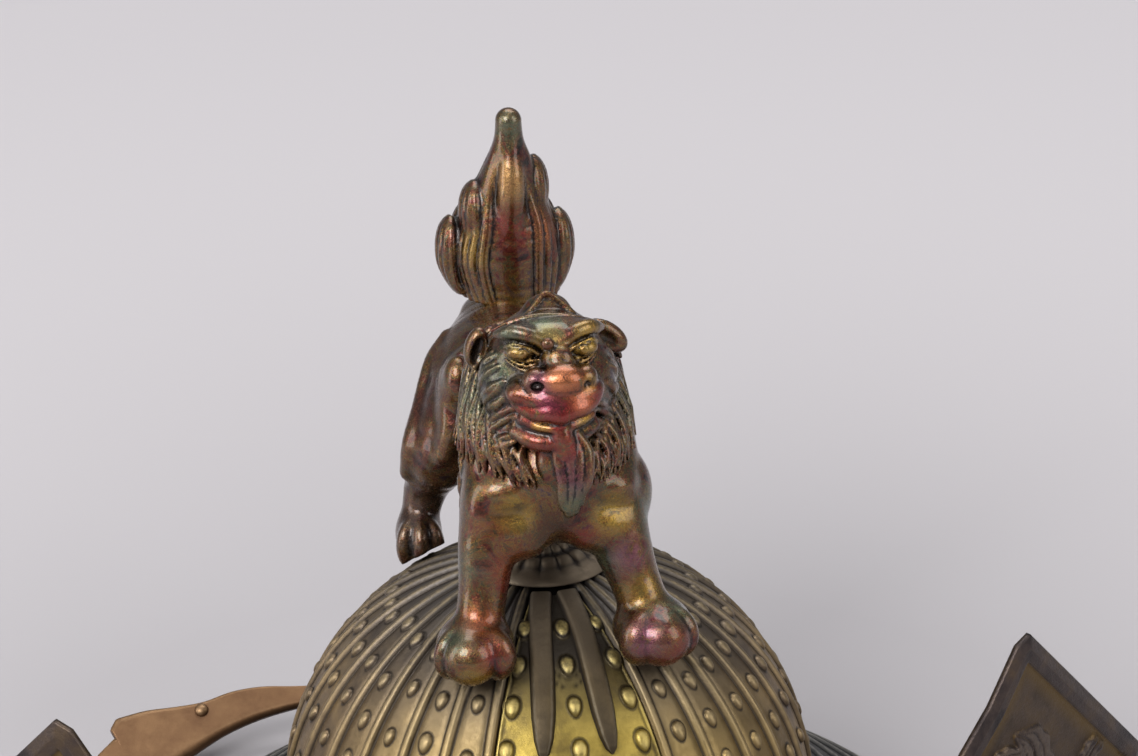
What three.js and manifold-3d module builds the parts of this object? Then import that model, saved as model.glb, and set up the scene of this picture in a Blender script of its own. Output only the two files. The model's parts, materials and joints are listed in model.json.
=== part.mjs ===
// A kabuto: a cast bronze samurai helmet with a guardian lion (shishi) on its crown.
// Millimetres, +Z up, the wearer faces -Y and the wearer's left is +X.
// Every piece is laid out around the centre of the bowl's sphere. The last lines move the
// whole helmet so that it stands on Z = 0, centred under its own box.
import * as THREE from "three";
import { mergeVertices } from "three/addons/utils/BufferGeometryUtils.js";
import Module from "manifold-3d";

const wasm = await Module();
wasm.setup();

const DEG = Math.PI / 180;
const GAP = 0.35; // between neighbouring pieces

// Bowl (hachi): 32 plates, with a raised rib on every joint between two plates.
const BOWL_RADIUS = 113.2;
const BOWL_WALL = 3.2;
const PLATE_COUNT = 32;
const RIB_HALF_WIDTH = 2.1;
const RIB_HEIGHT = 1.8;
const CROWN_POLAR = 15.5 * DEG; // where the ribs start, under the rosette
const RIVET_ROWS = 6;
const RIVET_ROW_START = 30 * DEG; // polar angle of the top row's upper edge
const RIVET_ROW_STEP = 9.4 * DEG;
const INNER_ROWS = 7; // facets of the inside, from top to rim
const RIVET_RADIUS = 3.4;
const RIVET_HEIGHT = 2.2;
const FRONT_PLATES = 4; // plates covered by the gilt front plate
const FRONT_RECESS = 2.2;

// Base band (koshimaki) under the bowl, in facets that match the neck guard's.
const FACET = 7.5 * DEG;
const BAND_RADIUS = 113;
const BAND_WALL = 3;
const BAND_HEIGHT = 24;

// Neck guard (shikoro): conical lames, each tucked under the one above.
const LAME_SLOPE = 27 * DEG;
const LAME_WIDTH = 23;
const LAME_STEP = 19;
const LAME_THICKNESS = 2;
const LAME_LIP = 1.2;
const FOOT_WIDTH = 3.5;
const LAME_TOP = { r: 114.4, z: -6 };
const LAME_ENDS = [120, 112.5, 105, 97.5].map((a) => a * DEG); // half arc, from the back

// Materials, one for each finish.
const finish = (color, roughness, metalness) => () =>
  new THREE.MeshStandardMaterial({ color, roughness, metalness });
const darkBronze = finish(0x55493a, 0.5, 0.85);
const giltBronze = finish(0x8a7437, 0.42, 0.9);
const lionBronze = finish(0x5f4233, 0.3, 0.9);
const greyIron = finish(0x45443f, 0.55, 0.8);
const copper = finish(0x8c6440, 0.5, 0.85);

const helmet = new THREE.Group();

function addPiece(name, geometry, material) {
  const mesh = new THREE.Mesh(geometry, material());
  mesh.name = name;
  helmet.add(mesh);
}

// ---- Shape helpers ---------------------------------------------------------------------

const vec = (x, y, z) => new THREE.Vector3(x, y, z);
const rz = (r, z) => new THREE.Vector2(r, z);

// A point on a sphere round the bowl's centre: azimuth from the front towards +X, polar from +Z.
function onSphere(radius, azimuth, polar) {
  const flat = radius * Math.sin(polar);
  return vec(flat * Math.sin(azimuth), -flat * Math.cos(azimuth), radius * Math.cos(polar));
}

function geometryOf(points, triangles) {
  const geometry = new THREE.BufferGeometry();
  geometry.setFromPoints(points);
  geometry.setIndex(triangles.flat());
  geometry.computeVertexNormals();
  return geometry;
}

function volumeOf(points, triangles) {
  const spanned = ([a, b, c]) => points[a].dot(points[b].clone().cross(points[c]));
  return triangles.reduce((sum, triangle) => sum + spanned(triangle), 0) / 6;
}

// A closed skin over rings of points, facing out whichever way the rings run.
// profile is a ring's outline in its own plane, for the two end caps; convex rings need none.
function skin(rings, profile) {
  const sides = rings[0].length;
  const points = rings.flat();
  const triangles = [];
  for (let k = 0; k + 1 < rings.length; k++)
    for (let i = 0; i < sides; i++) {
      const a = k * sides + i;
      const b = k * sides + ((i + 1) % sides);
      triangles.push([a, b, b + sides], [a, b + sides, a + sides]);
    }
  const fan = Array.from({ length: sides - 2 }, (_, i) => [0, i + 1, i + 2]);
  const cap = profile ? THREE.ShapeUtils.triangulateShape(profile, []) : fan;
  const [[p, q, r]] = cap;
  const turns = (q - p) * (r - q) * (p - r) < 0; // the cap's own way round
  const last = (rings.length - 1) * sides;
  for (const [i, j, k] of cap) {
    const [first, second] = turns ? [i, j] : [j, i];
    triangles.push([second, first, k], [last + first, last + second, last + k]);
  }
  const inward = volumeOf(points, triangles) < 0;
  return geometryOf(points, inward ? triangles.map(([i, j, k]) => [k, j, i]) : triangles);
}

// A band round the Z axis from an (r, z) profile, from one azimuth (from the front) to another.
function arcBand(profile, from, to) {
  const steps = Math.round((to - from) / FACET);
  const rings = Array.from({ length: steps + 1 }, (_, k) => {
    const azimuth = from + ((to - from) * k) / steps;
    return profile.map((p) => vec(p.x * Math.sin(azimuth), -p.x * Math.cos(azimuth), p.y));
  });
  return skin(rings, profile);
}

// A limb through round sections {x, y, z, r}, squashed to flat of its width across `side`.
function limb(sections, sides = 10) {
  const centres = sections.map((s) => vec(s.x, s.y, s.z));
  const count = sections.length;
  const rings = [];
  const ring = (centre, along, rx, ry) => {
    const side = vec(1, 0, 0).addScaledVector(along, -along.x).normalize();
    const up = along.clone().cross(side);
    return Array.from({ length: sides }, (_, i) => {
      const turn = (2 * Math.PI * i) / sides;
      return centre
        .clone()
        .addScaledVector(side, rx * Math.cos(turn))
        .addScaledVector(up, ry * Math.sin(turn));
    });
  };
  sections.forEach((s, k) => {
    const before = centres[Math.max(k - 1, 0)];
    const after = centres[Math.min(k + 1, count - 1)];
    const along = after.clone().sub(before).normalize();
    const [rx, ry] = [s.r, s.d ?? s.r];
    const end = (sign) => {
      const tip = centres[k].clone().addScaledVector(along, sign * 0.86 * Math.min(rx, ry));
      return ring(tip, along, rx * 0.45, ry * 0.45);
    };
    if (k === 0) rings.push(end(-1));
    rings.push(ring(centres[k], along, rx, ry));
    if (k === count - 1) rings.push(end(1));
  });
  return skin(rings);
}

function ellipsoid({ x, y, z, rx, ry, rz }, sides = 12) {
  const geometry = new THREE.SphereGeometry(1, sides, sides / 2);
  return geometry.scale(rx, ry, rz).translate(x, y, z);
}

// ---- Joins and cuts --------------------------------------------------------------------

function solid(geometry) {
  const bare = geometry.clone();
  bare.deleteAttribute("normal");
  bare.deleteAttribute("uv");
  const merged = mergeVertices(bare, 1e-3);
  return new wasm.Manifold(
    new wasm.Mesh({
      numProp: 3,
      vertProperties: merged.attributes.position.array,
      triVerts: new Uint32Array(merged.index.array),
    }),
  );
}

function meshed(body) {
  const { vertProperties, triVerts } = body.getMesh();
  const geometry = new THREE.BufferGeometry();
  geometry.setAttribute("position", new THREE.BufferAttribute(new Float32Array(vertProperties), 3));
  geometry.setIndex(Array.from(triVerts));
  geometry.computeVertexNormals();
  return geometry;
}

const join = (geometries) => geometries.map(solid).reduce((all, next) => all.add(next));

// ---- Bowl ------------------------------------------------------------------------------

const PLATE_ANGLE = (2 * Math.PI) / PLATE_COUNT;
const ribHalfAngle = (polar) =>
  Math.min(RIB_HALF_WIDTH / (BOWL_RADIUS * Math.sin(polar)), 0.36 * PLATE_ANGLE);
const isFrontPlate = (plate) => {
  const fromFront = Math.min(plate + 0.5, PLATE_COUNT - plate - 0.5);
  return fromFront < FRONT_PLATES / 2;
};

function bowl() {
  const points = [];
  const triangles = [];
  const add = (point) => points.push(point) - 1;
  const rivetEdge = (_, k) => RIVET_ROW_START + k * RIVET_ROW_STEP;
  const rivetEdges = Array.from({ length: RIVET_ROWS + 1 }, rivetEdge);
  const polars = [CROWN_POLAR, ...rivetEdges, 90 * DEG];

  // Outside: each plate starts with its rib (foot, crest, foot), then runs to the next rib.
  const rows = polars.map((polar) => {
    const ribAngle = ribHalfAngle(polar);
    const row = [];
    for (let plate = 0; plate < PLATE_COUNT; plate++) {
      const before = (plate + PLATE_COUNT - 1) % PLATE_COUNT;
      const left = BOWL_RADIUS - (isFrontPlate(before) ? FRONT_RECESS : 0);
      const right = BOWL_RADIUS - (isFrontPlate(plate) ? FRONT_RECESS : 0);
      const between = isFrontPlate(before) && isFrontPlate(plate);
      const crest = between ? left : BOWL_RADIUS + RIB_HEIGHT;
      const azimuth = plate * PLATE_ANGLE;
      row.push(
        add(onSphere(left, azimuth - ribAngle, polar)),
        add(onSphere(crest, azimuth, polar)),
        add(onSphere(right, azimuth + ribAngle, polar)),
      );
    }
    return row;
  });

  const quad = (a, b, c, d) => triangles.push([a, b, c], [a, c, d]);
  // A rivet: a low pyramid on the middle of one plate's cell.
  const rivetCell = (corners, azimuth, polar) => {
    const reach = RIVET_RADIUS / BOWL_RADIUS;
    const wide = reach / Math.sin(polar);
    const base = [
      [-wide, 0],
      [0, reach],
      [wide, 0],
      [0, -reach],
    ].map(([da, dp]) => add(onSphere(BOWL_RADIUS, azimuth + da, polar + dp)));
    const top = add(onSphere(BOWL_RADIUS + RIVET_HEIGHT, azimuth, polar));
    for (let i = 0; i < 4; i++) {
      const next = (i + 1) % 4;
      triangles.push([corners[i], corners[next], base[i]]);
      triangles.push([corners[next], base[next], base[i]]);
      triangles.push([base[i], base[next], top]);
    }
  };
  const columns = 3 * PLATE_COUNT;
  for (let k = 0; k + 1 < polars.length; k++)
    for (let i = 0; i < columns; i++) {
      const next = (i + 1) % columns;
      const corners = [rows[k][i], rows[k + 1][i], rows[k + 1][next], rows[k][next]];
      const plate = Math.floor(i / 3);
      if (i % 3 === 2 && k > 0 && k <= RIVET_ROWS && !isFrontPlate(plate))
        rivetCell(corners, (plate + 0.5) * PLATE_ANGLE, (polars[k] + polars[k + 1]) / 2);
      else quad(...corners);
    }

  // Inside: a plain hemisphere, joined to the outside by the rim.
  const inside = BOWL_RADIUS - FRONT_RECESS - BOWL_WALL;
  const innerRows = Array.from({ length: INNER_ROWS }, (_, k) => {
    const polar = (90 * DEG * (k + 1)) / INNER_ROWS;
    return Array.from({ length: PLATE_COUNT }, (_, i) =>
      add(onSphere(inside, i * PLATE_ANGLE, polar)),
    );
  });
  const innerTop = add(vec(0, 0, inside));
  const outerTop = add(vec(0, 0, BOWL_RADIUS));
  for (let i = 0; i < PLATE_COUNT; i++) {
    const next = (i + 1) % PLATE_COUNT;
    triangles.push([innerTop, innerRows[0][next], innerRows[0][i]]);
    for (let k = 0; k + 1 < INNER_ROWS; k++)
      quad(innerRows[k][i], innerRows[k][next], innerRows[k + 1][next], innerRows[k + 1][i]);
    const rim = [0, 1, 2, 3].map((j) => rows.at(-1)[(3 * i + j) % columns]);
    const [here, there] = [innerRows.at(-1)[i], innerRows.at(-1)[next]];
    triangles.push([rim[0], here, rim[1]], [rim[1], here, rim[2]]);
    triangles.push([rim[2], here, there], [rim[2], there, rim[3]]);
  }
  for (let i = 0; i < columns; i++)
    triangles.push([outerTop, rows[0][i], rows[0][(i + 1) % columns]]);
  return geometryOf(points, triangles);
}

// ---- Pieces on the bowl ----------------------------------------------------------------

// A patch of a spherical shell between two ribs, for the gilt plate on the brow.
function spherePatch({ inner, outer, halfAngle, polarFrom, polarTo }, columns, rows) {
  const shares = Array.from({ length: columns + 1 }, (_, i) => (2 * i) / columns - 1);
  const outline = [
    ...shares.map((share) => ({ radius: outer, share })),
    ...shares.reverse().map((share) => ({ radius: inner, share })),
  ];
  const profile = outline.map(
    ({ radius, share }) => new THREE.Vector2(radius * Math.sin(share), radius * Math.cos(share)),
  );
  const rings = Array.from({ length: rows + 1 }, (_, k) => {
    const polar = polarFrom + ((polarTo - polarFrom) * k) / rows;
    const half = halfAngle(polar);
    return outline.map(({ radius, share }) => onSphere(radius, share * half, polar));
  });
  return skin(rings, profile);
}

const FRONT_PLATE = {
  inner: BOWL_RADIUS - FRONT_RECESS + 0.9,
  outer: BOWL_RADIUS + 0.3,
  halfAngle: (polar) => (FRONT_PLATES / 2) * PLATE_ANGLE - ribHalfAngle(polar) - 0.3 * DEG,
  polarFrom: 15.8 * DEG,
  polarTo: 89 * DEG,
};

// A dome finger (shinodare): a half-round bar that runs down the brow and ends in a round tip.
const FINGER = [
  { polar: 16, offset: 5.8, width: 6.6, height: 2.3 },
  { polar: 26, offset: 8.5, width: 8.4, height: 2.7 },
  { polar: 36, offset: 10.3, width: 9.3, height: 2.8 },
  { polar: 45, offset: 12.0, width: 9.0, height: 2.8 },
  { polar: 50, offset: 13.0, width: 7.0, height: 2.5 },
  { polar: 52.6, offset: 13.6, width: 4.2, height: 1.8 },
  { polar: 53.8, offset: 13.9, width: 1.2, height: 0.6 },
];

function finger(side) {
  const seat = FRONT_PLATE.outer + GAP;
  const rings = FINGER.map(({ polar, offset, width, height }) => {
    const middle = (side * offset) / (seat * Math.sin(polar * DEG));
    const reach = width / 2 / (seat * Math.sin(polar * DEG));
    const arch = [0, 36, 72, 108, 144, 180].map((a) => a * DEG);
    return arch.map((a) =>
      onSphere(
        seat + height * Math.sin(a) + 0.3,
        middle + reach * Math.cos(a),
        polar * DEG,
      ),
    );
  });
  return skin(rings);
}

// Crown rosette (tehen kanamono): scalloped tiers, each smaller than the one below.
const ROSETTE_PETALS = 16;
const ROSETTE_SCALLOP = 0.06; // how far the notches between petals cut in
const ROSETTE_TIERS = [
  { r: 28.0, rise: 2.4 },
  { r: 24.5, rise: 4.8 },
  { r: 22.0, rise: 4.4 },
  { r: 18.5, rise: 7.4 },
  { r: 15.0, rise: 7.0 },
  { r: 10.5, rise: 9.4 },
  { r: 5.0, rise: 10.2 },
];

function rosette() {
  const seat = BOWL_RADIUS + RIB_HEIGHT;
  const seatZ = (r) => Math.sqrt(seat * seat - r * r);
  const edge = ROSETTE_TIERS[0].r;
  const profile = [
    rz(0, seat),
    ...[0.35, 0.7, 1].map((share) => rz(share * edge, seatZ(share * edge))),
    ...ROSETTE_TIERS.map(({ r, rise }) => rz(r, seatZ(edge) + rise)),
    rz(0, seatZ(edge) + ROSETTE_TIERS.at(-1).rise),
  ];
  const geometry = new THREE.LatheGeometry(profile, 2 * ROSETTE_PETALS).rotateX(90 * DEG);
  const { position } = geometry.attributes;
  for (let i = 0; i < position.count; i++) {
    const [x, y] = [position.getX(i), position.getY(i)];
    const scallop = 1 - ROSETTE_SCALLOP * (0.5 - 0.5 * Math.cos(ROSETTE_PETALS * Math.atan2(y, x)));
    position.setXY(i, x * scallop, y * scallop);
  }
  return geometry;
}

// ---- Base band, visor and neck guard ------------------------------------------------------

function baseBand() {
  const inner = BAND_RADIUS - BAND_WALL;
  const profile = [rz(inner, -GAP), rz(BAND_RADIUS, -GAP)];
  profile.push(rz(BAND_RADIUS, -BAND_HEIGHT), rz(inner, -BAND_HEIGHT), rz(inner, -GAP));
  return new THREE.LatheGeometry(profile.reverse(), (2 * Math.PI) / FACET).rotateX(90 * DEG);
}

// Visor (mabizashi): a crescent peak, deepest at the middle.
const VISOR = { halfArc: 52.5 * DEG, root: 113.8, top: -13, depth: 36, edge: 5, slope: 24 * DEG };
const VISOR_THICKNESS = 2.6;

function visor() {
  const steps = Math.round((2 * VISOR.halfArc) / FACET);
  const rings = Array.from({ length: steps + 1 }, (_, k) => {
    const azimuth = -VISOR.halfArc + k * FACET;
    const reach = VISOR.edge + VISOR.depth * Math.cos((azimuth / VISOR.halfArc) * 90 * DEG);
    const drop = reach * Math.tan(VISOR.slope);
    const far = VISOR.root + reach;
    const at = (r, z) => vec(r * Math.sin(azimuth), -r * Math.cos(azimuth), z);
    return [
      at(VISOR.root, VISOR.top),
      at(far, VISOR.top - drop),
      at(far, VISOR.top - drop - VISOR_THICKNESS),
      at(VISOR.root, VISOR.top - VISOR_THICKNESS),
    ];
  });
  return skin(rings);
}

// Along a lame and square to it, in the (r, z) plane.
const LAME_ALONG = rz(Math.cos(LAME_SLOPE), -Math.sin(LAME_SLOPE));
const LAME_OUT = rz(Math.sin(LAME_SLOPE), Math.cos(LAME_SLOPE));
const lamePoint = (lame, along, out) =>
  rz(LAME_TOP.r, LAME_TOP.z)
    .addScaledVector(LAME_ALONG, LAME_STEP * lame + along)
    .addScaledVector(LAME_OUT, out - (LAME_THICKNESS + GAP) * lame);

// The lowest lame's edge turns down into a flat foot, which the helmet rests on.
function lame(k) {
  const lip = LAME_WIDTH - 3;
  const edge = lamePoint(k, LAME_WIDTH, LAME_LIP);
  const under = lamePoint(k, LAME_WIDTH, -LAME_THICKNESS);
  const foot = [rz(edge.x, under.y - 1), rz(edge.x - FOOT_WIDTH, under.y - 1)];
  const inside = lamePoint(k, LAME_WIDTH - FOOT_WIDTH, -LAME_THICKNESS);
  const profile = [
    lamePoint(k, 0, 0),
    lamePoint(k, lip, 0),
    lamePoint(k, lip, LAME_LIP),
    edge,
    ...(k === LAME_ENDS.length - 1 ? [...foot, inside] : [under]),
    lamePoint(k, 0, -LAME_THICKNESS),
  ];
  return arcBand(profile, Math.PI - LAME_ENDS[k], Math.PI + LAME_ENDS[k]);
}

// ---- Turned-back wings (fukigaeshi) -----------------------------------------------------

// Each wing is a flat plate that faces 34 degrees out from the front. Its outline is drawn in
// its own plane: h runs outward along the plate, v is the height above the bowl's centre.
const WING_TURN = 34 * DEG;
const WING_DISTANCE = 136.3; // from the Z axis to the plate's face
const WING_TIP = 156; // from the foot of that distance out to the tip
const WING_THICKNESS = 2.6;
const WING_RIM = { width: 7, height: 1.6 };
const WING_OUTLINE = [
  { h: 0, v: 69 },
  { h: 88, v: -19 },
  { h: 86, v: -30 },
  { h: 70, v: -44 },
  { h: -96, v: -44 },
  { h: -104, v: -38 },
  { h: -104, v: -26 },
  { h: -84, v: -11 },
  { h: -42.5, v: 27 },
  { h: -25, v: 43.5 },
  { h: -8, v: 66 },
];

function wingShape(inset) {
  const middle = rz(-8, -4);
  const shrink = ({ h, v }) => {
    const p = rz(h, v);
    return p.lerp(middle, inset / p.distanceTo(middle));
  };
  return WING_OUTLINE.map(shrink);
}

// From the wing's plane (h, v, out) to the helmet, for the wearer's left; out is off its face.
function placeWing(geometry) {
  const along = vec(Math.cos(WING_TURN), Math.sin(WING_TURN), 0);
  const face = vec(Math.sin(WING_TURN), -Math.cos(WING_TURN), 0);
  const start = face.clone().multiplyScalar(WING_DISTANCE).addScaledVector(along, WING_TIP);
  const basis = new THREE.Matrix4().makeBasis(along, vec(0, 0, 1), face).setPosition(start);
  return geometry.applyMatrix4(basis);
}

const extrude = (points, depth) =>
  new THREE.ExtrudeGeometry(new THREE.Shape(points), { depth, bevelEnabled: false });

// Relief on the wing's face: a stem with pointed leaves on both sides of it.
const WING_LEAVES = [
  { h: -46, v: -24, turn: 160, length: 26 },
  { h: -30, v: -6, turn: 118, length: 28 },
  { h: -22, v: -22, turn: 18, length: 28 },
  { h: -6, v: 12, turn: 62, length: 26 },
  { h: 2, v: -2, turn: -12, length: 30 },
  { h: 18, v: -22, turn: -28, length: 28 },
];
const LEAF_HEIGHT = 1.4;

function leaf({ h, v, turn, length }) {
  const half = 0.24 * length;
  const outline = [rz(0, 0), rz(0.3 * length, -half), rz(0.65 * length, -0.8 * half)];
  outline.push(rz(length, 0), rz(0.65 * length, 0.8 * half), rz(0.3 * length, half));
  const sunk = 0.6;
  const body = extrude(outline, LEAF_HEIGHT + sunk).translate(0, 0, -sunk);
  return placeWing(body.rotateZ(turn * DEG).translate(h, v, 0));
}

// The tab that folds back from the wing's root and lies on the top lame.
function wingTab() {
  const onLame = (azimuth, along, out) => {
    const p = lamePoint(0, along, out);
    return vec(p.x * Math.sin(azimuth), -p.x * Math.cos(azimuth), p.y);
  };
  const strip = (azimuth) => [
    onLame(azimuth, 5, GAP),
    onLame(azimuth, 18.5, GAP),
    onLame(azimuth, 18.5, GAP + 2),
    onLame(azimuth, 5, GAP + 2),
  ];
  const bend = (azimuth, r, top, bottom) => {
    const at = (radius, z) => vec(radius * Math.sin(azimuth), -radius * Math.cos(azimuth), z);
    return [at(r, top), at(r, bottom), at(r + 2.6, bottom), at(r + 2.6, top)];
  };
  return skin([
    strip(76 * DEG),
    strip(68 * DEG),
    strip(60 * DEG),
    bend(53 * DEG, 134, -11, -24),
    bend(48 * DEG, 140.5, -20, -38),
    bend(54 * DEG, 143.2, -24, -40),
    bend(58 * DEG, 146, -25, -40),
  ]);
}

function wing(side) {
  const plate = extrude(wingShape(0), WING_THICKNESS + WING_RIM.height);
  placeWing(plate.translate(0, 0, -WING_THICKNESS));
  const pocket = placeWing(extrude(wingShape(WING_RIM.width), WING_RIM.height + 1));
  const framed = solid(plate).subtract(solid(pocket));
  const left = meshed(framed.add(join([...WING_LEAVES.map(leaf), wingTab()])));
  if (side > 0) return left;
  left.scale(-1, 1, 1);
  left.setIndex(Array.from(left.index.array).reverse());
  return left;
}

// ---- Rear crest ---------------------------------------------------------------------------

// One copper horn behind the bowl, towards the wearer's right. Its outline is drawn in its own
// plane, which leans back: x is the helmet's X and s runs up the plane.
const CREST_LEAN = 50 * DEG;
const CREST_ORIGIN = { y: 152, z: -28 };
const CREST_THICKNESS = 4.5;
const CREST_BOSS = { x: 0, s: 18, radius: 7 };
const CREST_UPPER = [
  { x: -4, s: 23 },
  { x: -40, s: 13 },
  { x: -80, s: 8 },
  { x: -100, s: 8 },
  { x: -119, s: 9.5 },
  { x: -134, s: 8.2 },
  { x: -148, s: 4.2 },
  { x: -162, s: 2.9 },
  { x: -176, s: 2.2 },
  { x: -190, s: -0.6 },
];
const CREST_END = [
  { x: -193.2, s: -6 },
  { x: -190.5, s: -9.9 },
  { x: -199.4, s: -18.2 },
  { x: -208, s: -31 },
];
const CREST_LOWER = [
  { x: -172, s: -31 },
  { x: -155, s: -22.5 },
  { x: -138, s: -12.9 },
  { x: -120, s: -6.3 },
  { x: -100, s: -2 },
  { x: -80, s: 1 },
  { x: -40, s: 6.5 },
  { x: -4, s: 14 },
];

function placeCrest(geometry) {
  const up = vec(0, Math.sin(CREST_LEAN), Math.cos(CREST_LEAN));
  const face = vec(0, -Math.cos(CREST_LEAN), Math.sin(CREST_LEAN));
  const basis = new THREE.Matrix4().makeBasis(vec(1, 0, 0), up, face);
  basis.setPosition(0, CREST_ORIGIN.y, CREST_ORIGIN.z);
  return geometry.applyMatrix4(basis);
}

function rearCrest() {
  const points = (table) => table.map(({ x, s }) => rz(x, s));
  const shape = new THREE.Shape();
  const [start, ...upper] = points(CREST_UPPER);
  shape.moveTo(start.x, start.y);
  shape.splineThru(upper);
  points(CREST_END).forEach((p) => shape.lineTo(p.x, p.y));
  const [corner, ...lower] = points(CREST_LOWER);
  shape.lineTo(corner.x, corner.y);
  shape.splineThru(lower);
  const options = { depth: CREST_THICKNESS, bevelEnabled: false, curveSegments: 2 };
  const blade = new THREE.ExtrudeGeometry(shape, options).translate(0, 0, -CREST_THICKNESS / 2);
  const boss = new THREE.CylinderGeometry(CREST_BOSS.radius, CREST_BOSS.radius, CREST_THICKNESS, 20);
  boss.rotateX(90 * DEG).translate(CREST_BOSS.x, CREST_BOSS.s, 0);
  return meshed(join([placeCrest(blade), placeCrest(boss)]));
}

// A strap over the upper lames at the back, with an upright post under the crest's boss.
const STRAP = { halfWidth: 6, from: 3, to: 58, under: 1.6, thickness: 3 };
const POST = { y: 164.5, radius: 3.5, foot: -30, height: 16 };

function crestPost() {
  const [low, high] = [STRAP.under, STRAP.under + STRAP.thickness];
  const strap = skin(
    [-STRAP.halfWidth, STRAP.halfWidth].map((x) =>
      [
        lamePoint(0, STRAP.from, low),
        lamePoint(0, STRAP.to, low),
        lamePoint(0, STRAP.to, high),
        lamePoint(0, STRAP.from, high),
      ].map((p) => vec(x, p.x, p.y)),
    ),
  );
  const post = new THREE.CylinderGeometry(POST.radius, POST.radius, POST.height, 12);
  post.rotateX(90 * DEG).translate(0, POST.y, POST.foot + POST.height / 2);
  const above = new THREE.BoxGeometry(16, 16, 20); // the room that the boss and its gap take
  above.translate(CREST_BOSS.x, CREST_BOSS.s, 10 - CREST_THICKNESS / 2 - GAP);
  return meshed(join([strap, post]).subtract(solid(placeCrest(above))));
}

// ---- Lion -----------------------------------------------------------------------------------

// The guardian lion stands astride the rosette. Limbs are round sections {x, y, z, r}, with d
// for the second radius of an oval one. Masses are ellipsoids {x, y, z, rx, ry, rz}.
const FRONT_LEG_RIGHT = [
  { x: -20, y: -30, z: 182, r: 15 },
  { x: -24, y: -42, z: 160, r: 14.5 },
  { x: -28, y: -48, z: 140, r: 13.5 },
  { x: -31, y: -53, z: 124, r: 11.5 },
  { x: -34, y: -58, z: 110, r: 10.8 },
];
const FRONT_LEG_LEFT = [
  { x: 19, y: -30, z: 182, r: 15 },
  { x: 22, y: -40, z: 160, r: 14.5 },
  { x: 24, y: -47, z: 140, r: 14 },
  { x: 30, y: -52, z: 124, r: 12.5 },
  { x: 35, y: -58, z: 110, r: 11 },
];
const HIND_LEG_RIGHT = [
  { x: -27, y: 50, z: 166, r: 21 },
  { x: -34, y: 44, z: 146, r: 15.5 },
  { x: -41, y: 55, z: 127, r: 10.5 },
  { x: -46, y: 54, z: 112, r: 9 },
  { x: -47, y: 52, z: 104, r: 9 },
];
const HIND_LEG_LEFT = [
  { x: 15, y: 50, z: 164, r: 20 },
  { x: 24, y: 44, z: 146, r: 15 },
  { x: 32, y: 54, z: 129, r: 10.5 },
  { x: 37, y: 53, z: 115, r: 9 },
  { x: 38, y: 51, z: 107, r: 9 },
];
const PAWS = [
  { x: -36.5, y: -64, z: 103, rx: 16.5, ry: 17, rz: 13 },
  { x: 36.5, y: -63, z: 105, rx: 16.5, ry: 17, rz: 13 },
  { x: -48, y: 49, z: 103, rx: 10.5, ry: 14, rz: 10 },
  { x: 39, y: 48, z: 106, rx: 10.5, ry: 14, rz: 10 },
];
const TORSO = [
  { x: -3, y: 90, z: 178, r: 19 },
  { x: -5, y: 76, z: 175, r: 27, d: 25 },
  { x: -5, y: 56, z: 172, r: 32, d: 28 },
  { x: -3, y: 30, z: 168, r: 27, d: 27 },
  { x: -1, y: 4, z: 167, r: 26, d: 27 },
  { x: 0, y: -22, z: 170, r: 29, d: 30 },
  { x: 0, y: -42, z: 166, r: 27, d: 26 },
];
const HAUNCHES = [
  { x: -25, y: 60, z: 170, rx: 21, ry: 27, rz: 27 },
  { x: 12, y: 60, z: 168, rx: 21, ry: 27, rz: 27 },
];
const HEAD_MASSES = [
  { x: -1, y: -22, z: 198, rx: 32.5, ry: 21, rz: 33 }, // mane
  { x: -2, y: -37, z: 214, rx: 25, ry: 21.5, rz: 23 }, // skull
  { x: -2, y: -50, z: 229, rx: 18, ry: 8.5, rz: 5.5 }, // brow
  { x: -2, y: -55, z: 206, rx: 18.5, ry: 15, rz: 9.5 }, // muzzle
  { x: -1, y: -63, z: 217, rx: 8, ry: 8, rz: 6.5 }, // nose
  { x: -2, y: -55, z: 191, rx: 15, ry: 11, rz: 7.5 }, // lower jaw
  { x: -29, y: -28, z: 218.5, rx: 5.5, ry: 4.5, rz: 8.5 }, // right ear
  { x: 25, y: -27.5, z: 218.5, rx: 8.5, ry: 4.5, rz: 6.5 }, // left ear
  { x: -1, y: -34, z: 236, rx: 8.5, ry: 6, rz: 6.5 }, // forelock
];
const BEARD = [
  { x: 4, y: -60, z: 190, r: 10, d: 7 },
  { x: 4, y: -65, z: 177, r: 8.5, d: 6 },
  { x: 2, y: -68, z: 165, r: 5.5, d: 4.5 },
];

// The tail is cast on its own and stands on a collar on the rump.
const TAIL_FOOT = { y: 84, z: 200.5, r: 20 };
const TAIL = [
  { x: 0, y: 85, z: 206, r: 21, d: 20 },
  { x: -1, y: 87, z: 218, r: 24.5, d: 21 },
  { x: -1, y: 86, z: 234, r: 23, d: 19 },
  { x: -1, y: 84, z: 248, r: 18.5, d: 15 },
  { x: 0, y: 81, z: 262, r: 13, d: 11.5 },
  { x: 0, y: 78.5, z: 272, r: 8.5, d: 8.5 },
  { x: 0, y: 77.5, z: 281, r: 5.6, d: 5.6 },
];
const TAIL_LOCKS = [
  { x: -26, y: 80, z: 224, rx: 7, ry: 8, rz: 14 },
  { x: 18, y: 80, z: 226, rx: 8, ry: 8, rz: 14 },
  { x: 12, y: 84, z: 252, rx: 6, ry: 7, rz: 12 },
];

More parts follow.
